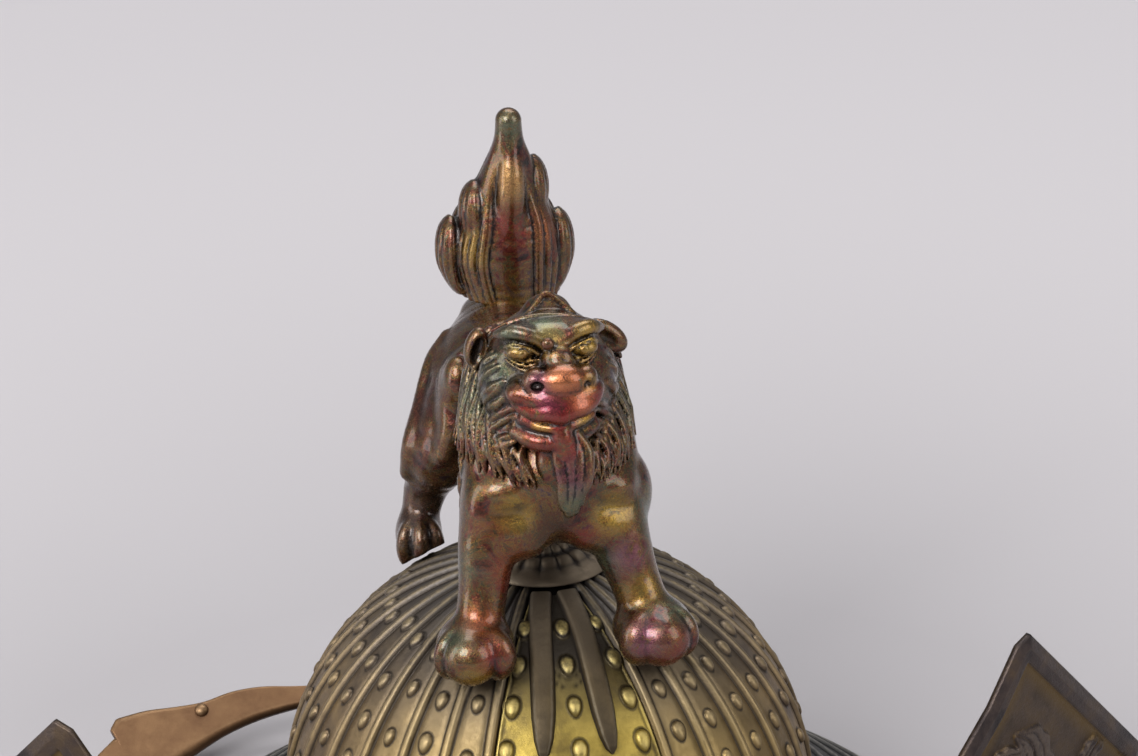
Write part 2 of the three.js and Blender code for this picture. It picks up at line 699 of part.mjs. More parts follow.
function lion() {
  const collar = new THREE.CylinderGeometry(TAIL_FOOT.r + 1.5, TAIL_FOOT.r + 3, 14, 18);
  collar.rotateX(90 * DEG).translate(0, TAIL_FOOT.y, TAIL_FOOT.z - GAP - 7);
  const masses = join([
    limb(TORSO, 12),
    limb(FRONT_LEG_RIGHT),
    limb(FRONT_LEG_LEFT),
    limb(HIND_LEG_RIGHT),
    limb(HIND_LEG_LEFT),
    limb(BEARD, 8),
    ...[...PAWS, ...HAUNCHES, ...HEAD_MASSES].map((mass) => ellipsoid(mass, mass.rx > 12 ? 12 : 8)),
    collar,
  ]);
  const seat = new THREE.SphereGeometry(BOWL_RADIUS + RIB_HEIGHT + RIVET_HEIGHT, 48, 24);
  return meshed(masses.subtract(solid(seat.rotateX(90 * DEG))));
}

function lionTail() {
  const flame = join([limb(TAIL, 12), ...TAIL_LOCKS.map((lock) => ellipsoid(lock, 10))]);
  const floor = new THREE.BoxGeometry(80, 80, 40).translate(0, TAIL_FOOT.y, TAIL_FOOT.z - 20);
  return meshed(flame.subtract(solid(floor)));
}

addPiece("bowl", bowl(), darkBronze);
addPiece("front_plate", spherePatch(FRONT_PLATE, 6, 8), giltBronze);
addPiece("dome_finger_right", finger(-1), darkBronze);
addPiece("dome_finger_left", finger(1), darkBronze);
addPiece("crown_rosette", rosette(), darkBronze);
addPiece("base_band", baseBand(), darkBronze);
addPiece("visor", visor(), greyIron);
LAME_ENDS.forEach((_, k) => addPiece(`neck_lame_${k + 1}`, lame(k), greyIron));
addPiece("turned_wing_right", wing(-1), darkBronze);
addPiece("turned_wing_left", wing(1), darkBronze);

addPiece("crest_post", crestPost(), greyIron);
addPiece("rear_crest", rearCrest(), copper);
addPiece("lion", lion(), lionBronze);
addPiece("lion_tail", lionTail(), lionBronze);

// Stand the helmet on Z = 0, centred under its box.
const box = new THREE.Box3().setFromObject(helmet);
const middle = box.getCenter(new THREE.Vector3());
helmet.position.set(-middle.x, -middle.y, -box.min.z);
helmet.updateMatrixWorld(true);

export default helmet;
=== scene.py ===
import json
from math import copysign, cos, pi, radians, sin, sqrt, tan

import bpy
import numpy as np
from mathutils import Matrix, Vector
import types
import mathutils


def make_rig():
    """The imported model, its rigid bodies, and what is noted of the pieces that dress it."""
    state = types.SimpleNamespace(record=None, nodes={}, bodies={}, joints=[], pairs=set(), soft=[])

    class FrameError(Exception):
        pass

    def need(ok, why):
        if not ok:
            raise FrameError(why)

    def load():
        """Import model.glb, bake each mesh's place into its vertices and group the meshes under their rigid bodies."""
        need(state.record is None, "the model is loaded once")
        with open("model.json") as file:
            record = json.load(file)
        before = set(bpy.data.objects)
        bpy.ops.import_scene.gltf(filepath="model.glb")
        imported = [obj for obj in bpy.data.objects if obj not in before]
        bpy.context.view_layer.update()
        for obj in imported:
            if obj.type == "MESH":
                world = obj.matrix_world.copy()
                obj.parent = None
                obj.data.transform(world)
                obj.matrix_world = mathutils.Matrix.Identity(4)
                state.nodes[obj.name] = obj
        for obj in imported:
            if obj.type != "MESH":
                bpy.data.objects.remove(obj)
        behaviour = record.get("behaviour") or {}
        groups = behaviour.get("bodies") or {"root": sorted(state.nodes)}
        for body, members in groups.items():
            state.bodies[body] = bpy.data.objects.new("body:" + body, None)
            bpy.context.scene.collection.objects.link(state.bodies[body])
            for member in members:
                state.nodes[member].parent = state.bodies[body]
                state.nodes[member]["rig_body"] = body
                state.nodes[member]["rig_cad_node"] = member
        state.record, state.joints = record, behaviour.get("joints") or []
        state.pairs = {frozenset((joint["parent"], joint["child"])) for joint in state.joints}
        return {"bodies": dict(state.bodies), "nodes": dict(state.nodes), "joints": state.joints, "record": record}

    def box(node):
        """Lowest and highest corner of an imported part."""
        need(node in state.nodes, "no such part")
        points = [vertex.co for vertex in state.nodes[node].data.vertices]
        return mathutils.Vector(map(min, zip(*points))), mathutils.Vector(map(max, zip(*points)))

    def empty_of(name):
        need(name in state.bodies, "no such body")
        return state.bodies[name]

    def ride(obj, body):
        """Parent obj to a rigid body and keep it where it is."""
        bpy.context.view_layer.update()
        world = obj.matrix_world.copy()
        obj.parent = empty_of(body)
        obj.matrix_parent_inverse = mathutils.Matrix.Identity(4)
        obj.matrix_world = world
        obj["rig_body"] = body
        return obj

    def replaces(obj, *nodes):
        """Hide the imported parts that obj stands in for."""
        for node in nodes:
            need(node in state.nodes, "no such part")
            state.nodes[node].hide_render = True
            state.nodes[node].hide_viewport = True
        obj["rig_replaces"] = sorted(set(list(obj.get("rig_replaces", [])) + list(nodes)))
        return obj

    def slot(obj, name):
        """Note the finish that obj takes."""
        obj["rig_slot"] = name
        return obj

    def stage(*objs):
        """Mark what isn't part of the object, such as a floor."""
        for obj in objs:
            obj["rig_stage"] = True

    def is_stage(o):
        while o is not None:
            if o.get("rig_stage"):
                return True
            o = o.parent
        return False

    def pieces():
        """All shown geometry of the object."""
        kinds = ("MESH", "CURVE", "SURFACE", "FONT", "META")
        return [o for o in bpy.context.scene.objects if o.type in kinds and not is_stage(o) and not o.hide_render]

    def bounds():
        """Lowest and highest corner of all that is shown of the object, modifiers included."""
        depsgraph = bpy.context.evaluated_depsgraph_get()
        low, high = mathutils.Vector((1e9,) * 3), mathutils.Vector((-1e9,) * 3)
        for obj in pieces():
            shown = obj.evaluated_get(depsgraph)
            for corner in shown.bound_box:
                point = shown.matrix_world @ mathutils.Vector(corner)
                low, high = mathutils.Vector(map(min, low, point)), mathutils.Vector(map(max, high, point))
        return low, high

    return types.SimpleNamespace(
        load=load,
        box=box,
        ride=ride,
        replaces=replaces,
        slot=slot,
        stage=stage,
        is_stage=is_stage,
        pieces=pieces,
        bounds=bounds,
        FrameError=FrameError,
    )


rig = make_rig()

scene = bpy.context.scene
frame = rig.load()
bounds_at_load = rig.bounds()

# Shapes below are in mm round the centre of the bowl's sphere, as in the part's source:
# +X the wearer's left, -Y the front, +Z up. place() turns them into the row's metres.
MM = 0.001
bowl_low, bowl_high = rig.box("bowl")
BOWL_CENTRE = Vector(((bowl_low[0] + bowl_high[0]) / 2, (bowl_low[1] + bowl_high[1]) / 2, bowl_low[2]))
BOWL_RADIUS = (bowl_high[2] - bowl_low[2]) / MM
PLATES = 32
PLATE_ANGLE = 2 * pi / PLATES
RIB_HEIGHT = 1.8
rng = np.random.default_rng(7)


def place(points):
    return np.asarray(points, float) * MM + np.array(BOWL_CENTRE)


def add_object(name, data):
    obj = bpy.data.objects.new(name, data)
    scene.collection.objects.link(obj)
    return obj


def mesh_object(name, points, faces, material, wear=None, stain=None):
    """A mesh of quads or triangles (rows of vertex numbers), in mm round the bowl's centre.

    wear runs from -1 (old dirt and painted shade in a hollow) to 1 (metal rubbed bright, with a painted highlight on
    an edge). stain is a colour for each vertex, with its strength."""
    faces = np.asarray(faces, np.int32)
    mesh = bpy.data.meshes.new(name)
    corners = faces.shape[1]
    mesh.vertices.add(len(points))
    mesh.vertices.foreach_set("co", place(points).astype(np.float32).ravel())
    mesh.loops.add(faces.size)
    mesh.loops.foreach_set("vertex_index", faces.ravel())
    mesh.polygons.add(len(faces))
    mesh.polygons.foreach_set("loop_start", np.arange(0, faces.size, corners, dtype=np.int32))
    mesh.polygons.foreach_set("use_smooth", np.full(len(faces), True))
    mesh.update(calc_edges=True)
    if wear is not None:
        mesh.attributes.new("wear", "FLOAT", "POINT").data.foreach_set("value", wear.astype(np.float32))
    if stain is not None:
        colours = mesh.attributes.new("stain", "FLOAT_COLOR", "POINT").data
        colours.foreach_set("color", stain.astype(np.float32).ravel())
    mesh.materials.append(material)
    return add_object(name, mesh)


def stand_for(obj, node, slot):
    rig.ride(obj, "root")
    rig.replaces(obj, node)
    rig.slot(obj, slot)


# ---- Modelling in clay: signed distances in a block of voxels ----


class Clay:
    """A block of signed distances in mm. Below 0 is bronze."""

    def __init__(self, low, high, voxel):
        self.voxel = voxel
        self.axes = [np.arange(a, b + voxel, voxel, dtype=np.float32) for a, b in zip(low, high)]
        self.field = np.full([len(a) for a in self.axes], 30.0, np.float32)

    def shape(self, low, high, distance, blend, cut=False):
        """Joins a shape, or cuts it out, with its edges rounded over blend mm."""
        margin = blend + 2 * self.voxel
        ends = zip(self.axes, np.asarray(low) - margin, np.asarray(high) + margin)
        spans = tuple(slice(*np.searchsorted(axis, (a, b))) for axis, a, b in ends)
        x, y, z = (axis[span] for axis, span in zip(self.axes, spans))
        old = self.field[spans]
        if not old.size:
            return
        new = distance(x[:, None, None], y[None, :, None], z[None, None, :])
        if cut:
            old = -old
        mixed = np.minimum(old, new)
        if blend:
            near = np.clip(blend - np.abs(old - new), 0, None) / blend
            mixed = mixed - near * near * blend * 0.25
        self.field[spans] = -mixed if cut else mixed

    def ball(self, centre, radii, blend=2.0, turn=None, cut=False):
        """An ellipsoid. turn is (axis, degrees)."""
        centre, radii = np.array(centre, np.float32), np.array(radii, np.float32)
        axis, degrees = turn or ("Z", 0)
        spin = np.array(Matrix.Rotation(radians(degrees), 3, axis))
        reach = np.full(3, radii.max()) if turn else radii

        def distance(x, y, z):
            offset = (x - centre[0], y - centre[1], z - centre[2])
            local = [sum(spin[j][i] * offset[j] for j in range(3)) for i in range(3)]
            inner = np.sqrt(sum((u / r) ** 2 for u, r in zip(local, radii)))
            outer = np.sqrt(sum((u / r**2) ** 2 for u, r in zip(local, radii)))
            return inner * (inner - 1) / np.maximum(outer, 1e-6)

        self.shape(centre - reach, centre + reach, distance, blend, cut)

    def masses(self, rows):
        for x, y, z, rx, ry, rz, blend in rows:
            self.ball((x, y, z), (rx, ry, rz), blend)

    def strand(self, path, blend=1.0, cut=False, steps=3):
        """A smooth rope through points (x, y, z, radius)."""
        path = smooth_path(path, steps).astype(np.float32)

        def distance(x, y, z):
            nearest = None
            for a, b in zip(path, path[1:]):
                along = b[:3] - a[:3]
                px, py, pz = x - a[0], y - a[1], z - a[2]
                t = (px * along[0] + py * along[1] + pz * along[2]) / max(float(along @ along), 1e-9)
                t = np.clip(t, 0, 1)
                gap = (px - t * along[0]) ** 2 + (py - t * along[1]) ** 2 + (pz - t * along[2]) ** 2
                gap = np.sqrt(gap) - (a[3] + (b[3] - a[3]) * t)
                nearest = gap if nearest is None else np.minimum(nearest, gap)
            return nearest

        reach = path[:, 3].max()
        self.shape(path[:, :3].min(0) - reach, path[:, :3].max(0) + reach, distance, blend, cut)

    def lay(self, path, blend):
        """A rope whose points are first moved onto the clay's surface."""
        origin = np.array([axis[0] for axis in self.axes])
        out = []
        for x, y, z, *rest in path:
            point = np.array([x, y, z], float)
            for _ in range(6):
                at = np.rint((point - origin) / self.voxel).astype(int)
                at = np.clip(at, 1, np.array(self.field.shape) - 2)
                steps = np.eye(3, dtype=int)
                slope = np.array([self.field[tuple(at + u)] - self.field[tuple(at - u)] for u in steps])
                point -= 0.8 * self.field[tuple(at)] * slope / max(np.linalg.norm(slope), 1e-6)
            out.append((*point, *rest))
        self.strand(out, blend)

    def skin(self):
        """(points, quads) of the surface, by naive surface nets."""
        field = self.field
        cells = np.array(field.shape) - 1
        total, count = np.zeros((cells.prod(), 3)), np.zeros(cells.prod())
        edges = []
        for axis in range(3):
            low = field[tuple(slice(None, -1) if i == axis else slice(None) for i in range(3))]
            high = field[tuple(slice(1, None) if i == axis else slice(None) for i in range(3))]
            at = np.argwhere((low < 0) != (high < 0))
            a, b = low[tuple(at.T)], high[tuple(at.T)]
            crossing = at.astype(float)
            crossing[:, axis] += a / (a - b)
            u, v = [i for i in range(3) if i != axis]
            inside = (at[:, u] > 0) & (at[:, v] > 0) & (at[:, u] < cells[u]) & (at[:, v] < cells[v])
            at, crossing, starts_in = at[inside], crossing[inside], (a < 0)[inside]
            around = []
            for du, dv in ((0, 0), (-1, 0), (-1, -1), (0, -1)):
                cell = at.copy()
                cell[:, u] += du
                cell[:, v] += dv
                flat = np.ravel_multi_index(cell.T, cells)
                np.add.at(total, flat, crossing)
                np.add.at(count, flat, 1)
                around.append(flat)
            quad = np.stack(around, 1)
            flip = starts_in if axis != 1 else ~starts_in
            quad[~flip] = quad[~flip][:, ::-1]
            edges.append(quad)
        quads = np.concatenate(edges)
        used, quads = np.unique(quads, return_inverse=True)
        points = total[used] / count[used][:, None] * self.voxel
        origin = np.array([axis[0] for axis in self.axes])
        return points + origin, quads.reshape(-1, 4), self.wear(points / self.voxel)

    def wear(self, places):
        """Wear and painted light at grid places: hollows, which lie in clay on most sides, go towards dirt and painted
        shade; ridges, in air, go towards rubbed metal and a painted highlight.
        """
        soft = np.clip(self.field, -3, 3)
        for axis in range(3):
            for _ in range(2):
                soft = (soft + np.roll(soft, 1, axis) + np.roll(soft, -1, axis)) / 3
        at = np.clip(np.rint(places).astype(int), 0, np.array(soft.shape) - 1)
        return np.clip((soft - np.clip(self.field, -3, 3))[tuple(at.T)] / (0.16 * self.voxel), -1, 1)


def smooth_path(path, steps):
    """A Catmull-Rom curve through the rows of path, with steps spans between two rows."""
    path = np.asarray(path, float)
    if steps < 2:
        return path
    padded = np.vstack([2 * path[0] - path[1], path, 2 * path[-1] - path[-2]])
    out = []
    for p0, p1, p2, p3 in zip(padded, padded[1:], padded[2:], padded[3:]):
        for t in np.arange(steps) / steps:
            square = (2 * p0 - 5 * p1 + 4 * p2 - p3) * t**2
            out.append(0.5 * (2 * p1 + (p2 - p0) * t + square + (3 * p1 - p0 - 3 * p2 + p3) * t**3))
    return np.vstack([out, path[-1]])


# ---- Materials ----


class Surface:
    """A new material, and the nodes that feed its Principled shader."""

    def __init__(self, name):
        self.material = bpy.data.materials.new(name)
        self.material.use_nodes = True
        self.tree = self.material.node_tree
        self.shader = self.tree.nodes["Principled BSDF"]

    def feed(self, node, feeds):
        """Sets a node's inputs: to another node's output, or to a plain value."""
        for label, value in feeds.items():
            if isinstance(value, bpy.types.NodeSocket):
                self.tree.links.new(value, node.inputs[label])
            else:
                node.inputs[label].default_value = value

    def node(self, kind, output, feeds, **settings):
        """Adds a node and returns one of its outputs."""
        node = self.tree.nodes.new("ShaderNode" + kind)
        for key, value in settings.items():
            setattr(node, key, value)
        self.feed(node, feeds)
        return node.outputs[output]

    def remap(self, value, from_low, from_high, to_low=0.0, to_high=1.0):
        ends = {"From Min": from_low, "From Max": from_high, "To Min": to_low, "To Max": to_high}
        return self.node("MapRange", "Result", {**ends, "Value": value})

    def mix(self, factor, under, over):
        feeds = {"Factor": factor, "A": under, "B": over}
        return self.node("Mix", "Result", feeds, data_type="RGBA")


def bronze(
    name, stops, roughness, grime_and_shade, rubbed_and_highlight, scale=60.0, metallic=0.85, bump=0.25, crown=None, front=None,
    stained=False, polish_and_highlight=0.85, coat=0.0, swirl=0.0,
):
    """A patina: noise runs through the colour stops [(place, colour)].

    The wear attribute, which carries wear and painted light, darkens hollows towards the dirt colour, for old dirt and
    painted shade, and brightens edges towards the rubbed colour, for rubbed metal and a painted highlight. crown is
    (low height, high height, colour) for metal whose colour shifts towards the top of the bowl: darker on the bowl and
    its brow plate, lighter on the fingers and rosette as painted light where the lion's shadow falls. front the same
    along Y for metal that is gilded towards the brow. stained metal takes the stain attribute's colours in patches.
    coat is a clear wax, and swirl bends the patches of colour into streaks."""
    surface = Surface(name)
    node, remap, mix = surface.node, surface.remap, surface.mix
    where = node("TexCoord", "Object", {})

    def noise(size, octaves, rough=0.6):
        feeds = {"Scale": size, "Detail": octaves, "Roughness": rough, "Distortion": swirl}
        return node("TexNoise", "Fac", {**feeds, "Vector": where})

    def product(a, b):
        return node("Math", "Value", {0: a, 1: b}, operation="MULTIPLY")

    colour = node("ValToRGB", "Color", {"Fac": noise(scale, 6, 0.72 if stained else 0.6)})
    ramp = colour.node.color_ramp.elements
    while len(ramp) < len(stops):
        ramp.new(0.5)
    for element, (position, tint) in zip(ramp, stops):
        element.position = position
        element.color = (*tint, 1)
    for axis, shade in (("Y", front), ("Z", crown)):
        if shade:
            start, end, tint = shade
            base = BOWL_CENTRE["XYZ".index(axis)]
            place_along = node("SeparateXYZ", axis, {"Vector": where})
            share = remap(place_along, base + start * MM, base + end * MM)
            colour = mix(share, colour, (*tint, 1))
    if stained:
        stain = node("Attribute", "Color", {}, attribute_name="stain")
        patches = remap(noise(scale * 1.4, 8, 0.8), 0.40, 0.47)
        colour = mix(product(stain.node.outputs["Alpha"], patches), colour, stain)
    wear = node("Attribute", "Fac", {}, attribute_name="wear")
    grit = noise(scale * 7, 3)
    patchy = product(wear, remap(grit, 0.35, 0.65, 0.45, 1.0))
    # Painted shade in hollows and painted highlights on edges, over real dirt and rubbed wear: below 0 the wear
    # attribute mixes in the dark dirt colour, above 0 the bright rubbed colour.
    colour = mix(remap(wear, 0.0, -0.9, 0.0, 0.92), colour, (*grime_and_shade, 1))
    colour = mix(remap(patchy, 0.1, 1.0, 0.0, polish_and_highlight), colour, (*rubbed_and_highlight, 1))
    relief = {"Strength": bump, "Distance": 0.0004, "Height": noise(scale * 14, 4, 0.7)}
    surface.feed(surface.shader, {
        "Metallic": metallic,
        "Coat Weight": coat,
        "Coat Roughness": 0.12,
        "Base Color": colour,
        "Roughness": remap(grit, 0.3, 0.7, roughness - 0.07, roughness + 0.1),
        "Normal": node("Bump", "Normal", relief),
    })
    return surface.material


lion_bronze = bronze(
    "lion bronze",
    [
        (0.37, (0.011, 0.006, 0.005)), (0.42, (0.080, 0.011, 0.008)), (0.46, (0.100, 0.040, 0.012)),
        (0.49, (0.024, 0.034, 0.020)), (0.52, (0.150, 0.078, 0.014)), (0.55, (0.070, 0.012, 0.011)),
        (0.59, (0.115, 0.066, 0.016)), (0.64, (0.040, 0.018, 0.026)),
    ],
    0.24, (0.011, 0.007, 0.006), (0.28, 0.155, 0.075), scale=80, metallic=0.82, stained=True,
    polish_and_highlight=0.16, coat=0.5, swirl=0.7, bump=0.4,
)
dark_bronze = bronze(
    "dark bronze",
    [(0.35, (0.110, 0.077, 0.050)), (0.52, (0.195, 0.138, 0.080)), (0.68, (0.275, 0.192, 0.096))],
    0.46, (0.022, 0.017, 0.013), (0.33, 0.25, 0.13), crown=(60, 106, (0.078, 0.069, 0.063)),
    front=(-30, -112, (0.245, 0.170, 0.052)), polish_and_highlight=0.6,
)
# Its crown colour lightens the rosette and the fingers' tops: painted light where the lion's shadow falls on them.
finger_bronze = bronze(
    "finger bronze",
    [(0.35, (0.042, 0.030, 0.016)), (0.65, (0.078, 0.055, 0.027))],
    0.52, (0.022, 0.018, 0.016), (0.30, 0.26, 0.19), crown=(90, 114, (0.150, 0.116, 0.080)),
    metallic=0.75, polish_and_highlight=0.4,
)
gilt_bronze = bronze(
    "gilt bronze",
    [(0.34, (0.12, 0.085, 0.022)), (0.5, (0.25, 0.18, 0.038)), (0.68, (0.36, 0.265, 0.060))],
    0.42, (0.030, 0.022, 0.010), (0.50, 0.39, 0.14), crown=(72, 96, (0.045, 0.037, 0.028)), scale=80,
    polish_and_highlight=0.7,
)
wing_bronze = bronze(
    "wing bronze",
    [(0.36, (0.028, 0.022, 0.022)), (0.50, (0.058, 0.043, 0.038)), (0.66, (0.085, 0.058, 0.036))],
    0.36, (0.115, 0.072, 0.024), (0.21, 0.16, 0.115), bump=0.6, polish_and_highlight=0.7,
)
grey_iron = bronze(
    "grey iron",
    [(0.35, (0.040, 0.039, 0.038)), (0.65, (0.085, 0.082, 0.076))],
    0.45, (0.012, 0.012, 0.012), (0.30, 0.28, 0.25),
)
copper = bronze(
    "copper",
    [(0.35, (0.125, 0.062, 0.028)), (0.65, (0.185, 0.100, 0.046))],
    0.42, (0.06, 0.03, 0.015), (0.38, 0.25, 0.13), bump=0.08, metallic=0.7, polish_and_highlight=0.6,
)


# ---- Lion ----

# Limbs run through round sections (x, y, z, radius). The right legs come first, then the left,
# front before hind. Masses are (x, y, z, rx, ry, rz, blend).
TORSO = [
    (-3, 90, 178, 19), (-5, 76, 175, 26), (-5, 56, 172, 30), (-3, 30, 168, 27), (-1, 4, 167, 26.5),
    (0, -22, 171, 28.5), (0, -38, 168, 25.5),
]
LEGS = [
    [
        (-20, -30, 182, 14.5), (-24, -42, 160, 13.6), (-28.5, -48, 142, 11.8), (-31.5, -53, 124, 9.8),
        (-34.5, -58, 110, 10),
    ],
    [
        (19, -30, 182, 14.5), (22, -40, 160, 13.6), (24.5, -47, 142, 12.4), (29.8, -52, 124, 10.2),
        (34.5, -58, 110, 10.2),
    ],
    [
        (-22.5, 50, 168, 19), (-34, 45, 147, 15.5), (-42, 54, 128, 10.5), (-46, 54, 114, 8.4),
        (-47, 52, 106, 8.6),
    ],
    [
        (15, 50, 164, 19.5), (24, 44, 146, 14.5), (32, 54, 129, 9.8), (37, 53, 117, 8.0),
        (38, 51, 109, 8.6),
    ],
]
MUSCLES = [
    (-18.5, 60, 170, 18.5, 26, 25, 5), (11, 60, 168, 19.5, 26, 26, 5),  # haunches
    # the near thigh
    (-31, 61, 176, 9, 13, 11, 2.5), (-33.5, 41, 159, 7.5, 10, 13, 2.5), (-30, 33, 180, 6.5, 8, 12, 3),
    (0, 84, 193, 22, 20, 7.5, 3),  # the root of the tail
    (33, -36, 156, 7, 10, 14, 4), (-31, -46, 158, 6, 10, 12, 4),  # outer shoulders
    (-21, -49, 166, 11, 9, 8, 4), (21, -48, 165, 10, 9, 7, 4),  # shoulders under the mane
    (-14, -52, 148, 11, 8, 11, 6), (13, -52, 149, 11, 8, 11, 6), (0, -50, 156, 15, 9, 12, 6),  # breast
]
# Long soft muscles that follow the surface.
SINEWS = [
    [
        (-28, 68, 186, 1.5), (-33, 60, 176, 2.5), (-38, 50, 160, 4.5), (-43, 46, 147, 4.5),
        (-47, 50, 134, 3),
    ],
    [(-24, 42, 190, 1.5), (-29, 36, 178, 3.5), (-33, 33, 162, 4.5), (-36, 36, 148, 3)],
    [(24, 66, 190, 3), (30, 56, 180, 4.5), (31, 48, 166, 4), (31, 42, 152, 3)],
]
# Paws: centre, radii, and toes as (turn from the front in degrees, share of the paw's width).
PAWS = [
    ((-36, -61.5, 104.6), (16.5, 17, 12.6), [(-76, 0.34), (-20, 0.68), (50, 0.46)]),
    ((35.5, -61.5, 106), (17, 17, 12.6), [(-44, 0.5), (14, 0.68), (72, 0.34)]),
    ((-48, 49, 103.5), (10.5, 14, 12.5), [(-50, 0.46), (0, 0.46), (50, 0.46)]),
    ((39, 48, 106.5), (10.5, 14, 12.5), [(-50, 0.46), (0, 0.46), (50, 0.46)]),
]


LION_SEAT = 117  # radius round the bowl's centre on which the paws stand


def lion_body():
    clay = Clay((-64, -86, 88), (62, 112, 212), 1.1)
    clay.strand(TORSO, 3)
    for path in LEGS:
        clay.strand(path, 3.5)
    clay.masses(MUSCLES)
    for (x, y, z), (rx, ry, rz), toes in PAWS:
        clay.ball((x, y + 1, z + 0.5), (rx * 0.95, ry * 0.92, rz), 3)
        for turn, width in toes:
            a = radians(turn)
            spot = (x + 0.54 * rx * sin(a), y - 0.48 * ry * cos(a), z - 0.08 * rz)
            clay.ball(spot, (rx * width, ry * 0.6, rz * 0.89), 1.3, turn=("Z", turn * 0.7))
    for sinew in SINEWS:
        clay.lay(sinew, 5)
    # Hair curls behind the right elbow.
    for step in range(5):
        z = 178 - 9 * step
        lock = [
            (-36, -30, z, 1.4), (-38, -34, z - 4, 1.6), (-38, -36, z - 9, 1.2), (-36, -35, z - 13, 0.6),
        ]
        clay.lay(lock, 0.8)
    # A row of curls down the spine.
    for step in range(7):
        y = -8 + 11 * step
        clay.strand([
            (-2, y, 194.5, 2.2), (-2, y + 6, 198.5 - 0.2 * step, 2.6), (-2, y + 11, 197, 1.2),
        ], 0.8)
    clay.ball((0, 0, 0), [LION_SEAT] * 3, 0.0, cut=True)
    return clay


FACE_MIDDLE = -1.6  # X of the face's own middle

HEAD_MASSES = [
    (-1, -22, 199, 29.5, 19, 30, 2), (-1, -27, 184, 30, 21, 18, 6),  # under the mane
    (-1.5, -36, 214, 23.5, 21, 22, 3), (-1.5, -47, 230, 19, 9, 5.5, 4),  # skull and forehead
    (-15, -41, 207, 13, 12, 16, 4), (12, -41, 207, 13, 12, 16, 4),  # cheeks
    (-1, -50, 207, 18.5, 13, 13, 5), (0, -58, 209, 14, 10, 7.5, 4),  # muzzle
    (-2.5, -51, 193, 15, 12.5, 10, 4),  # lower jaw
    (0.6, -57, 222, 7, 6.5, 7, 4), (2, -57, 178, 12, 8, 14, 4),  # bridge of the nose, throat
    (-1.5, -54, 197, 15.5, 9.5, 8, 4),  # behind the lips
]
MANE_LOCKS = [
    [(-28, -20, 217), (-32, -22, 205), (-34, -25, 191), (-35, -28, 178)],
    [(-29, -27, 213), (-32.5, -29, 200), (-35, -32, 188), (-34, -34, 175)],
    [(-27.5, -34, 209), (-31, -36, 197), (-33, -39, 185), (-31.5, -41, 173)],
    [(-25.5, -39.5, 205), (-29, -42, 193), (-30, -45, 182), (-27.5, -47, 171)],
    [(-23, -44, 200), (-25.5, -47, 191), (-25.5, -50, 181), (-22, -52, 171)],
    [(-19.5, -48, 194), (-21, -52, 187), (-20, -55, 179), (-16.5, -56.5, 171)],
    [(-15, -52, 188), (-16, -56, 183), (-14.5, -58.5, 177), (-11.5, -59.5, 171)],
    [(23, -20, 215), (28.5, -22, 204), (31, -25, 191), (31.5, -27, 178)],
    [(24, -27, 212), (28, -29, 200), (31.5, -31, 188), (31, -32, 175)],
    [(22.5, -34, 208), (26.5, -36, 197), (30, -38, 185), (29, -40, 173)],
    [(21, -40, 203), (25, -42, 192), (27, -45, 182), (25.5, -46, 171)],
    [(18.5, -45, 197), (22, -48, 188), (23.5, -50, 180), (21, -51, 171)],
    [(15, -49, 191), (18, -53, 184), (18.5, -55, 178), (16.5, -56, 171)],
    [(12, -53, 188), (14, -56.5, 182), (14, -58.5, 177), (12.5, -59, 171)],
]


def mirrored(path):
    """The same path on the other side of the face."""
    return [(2 * FACE_MIDDLE - x, *rest) for x, *rest in path]


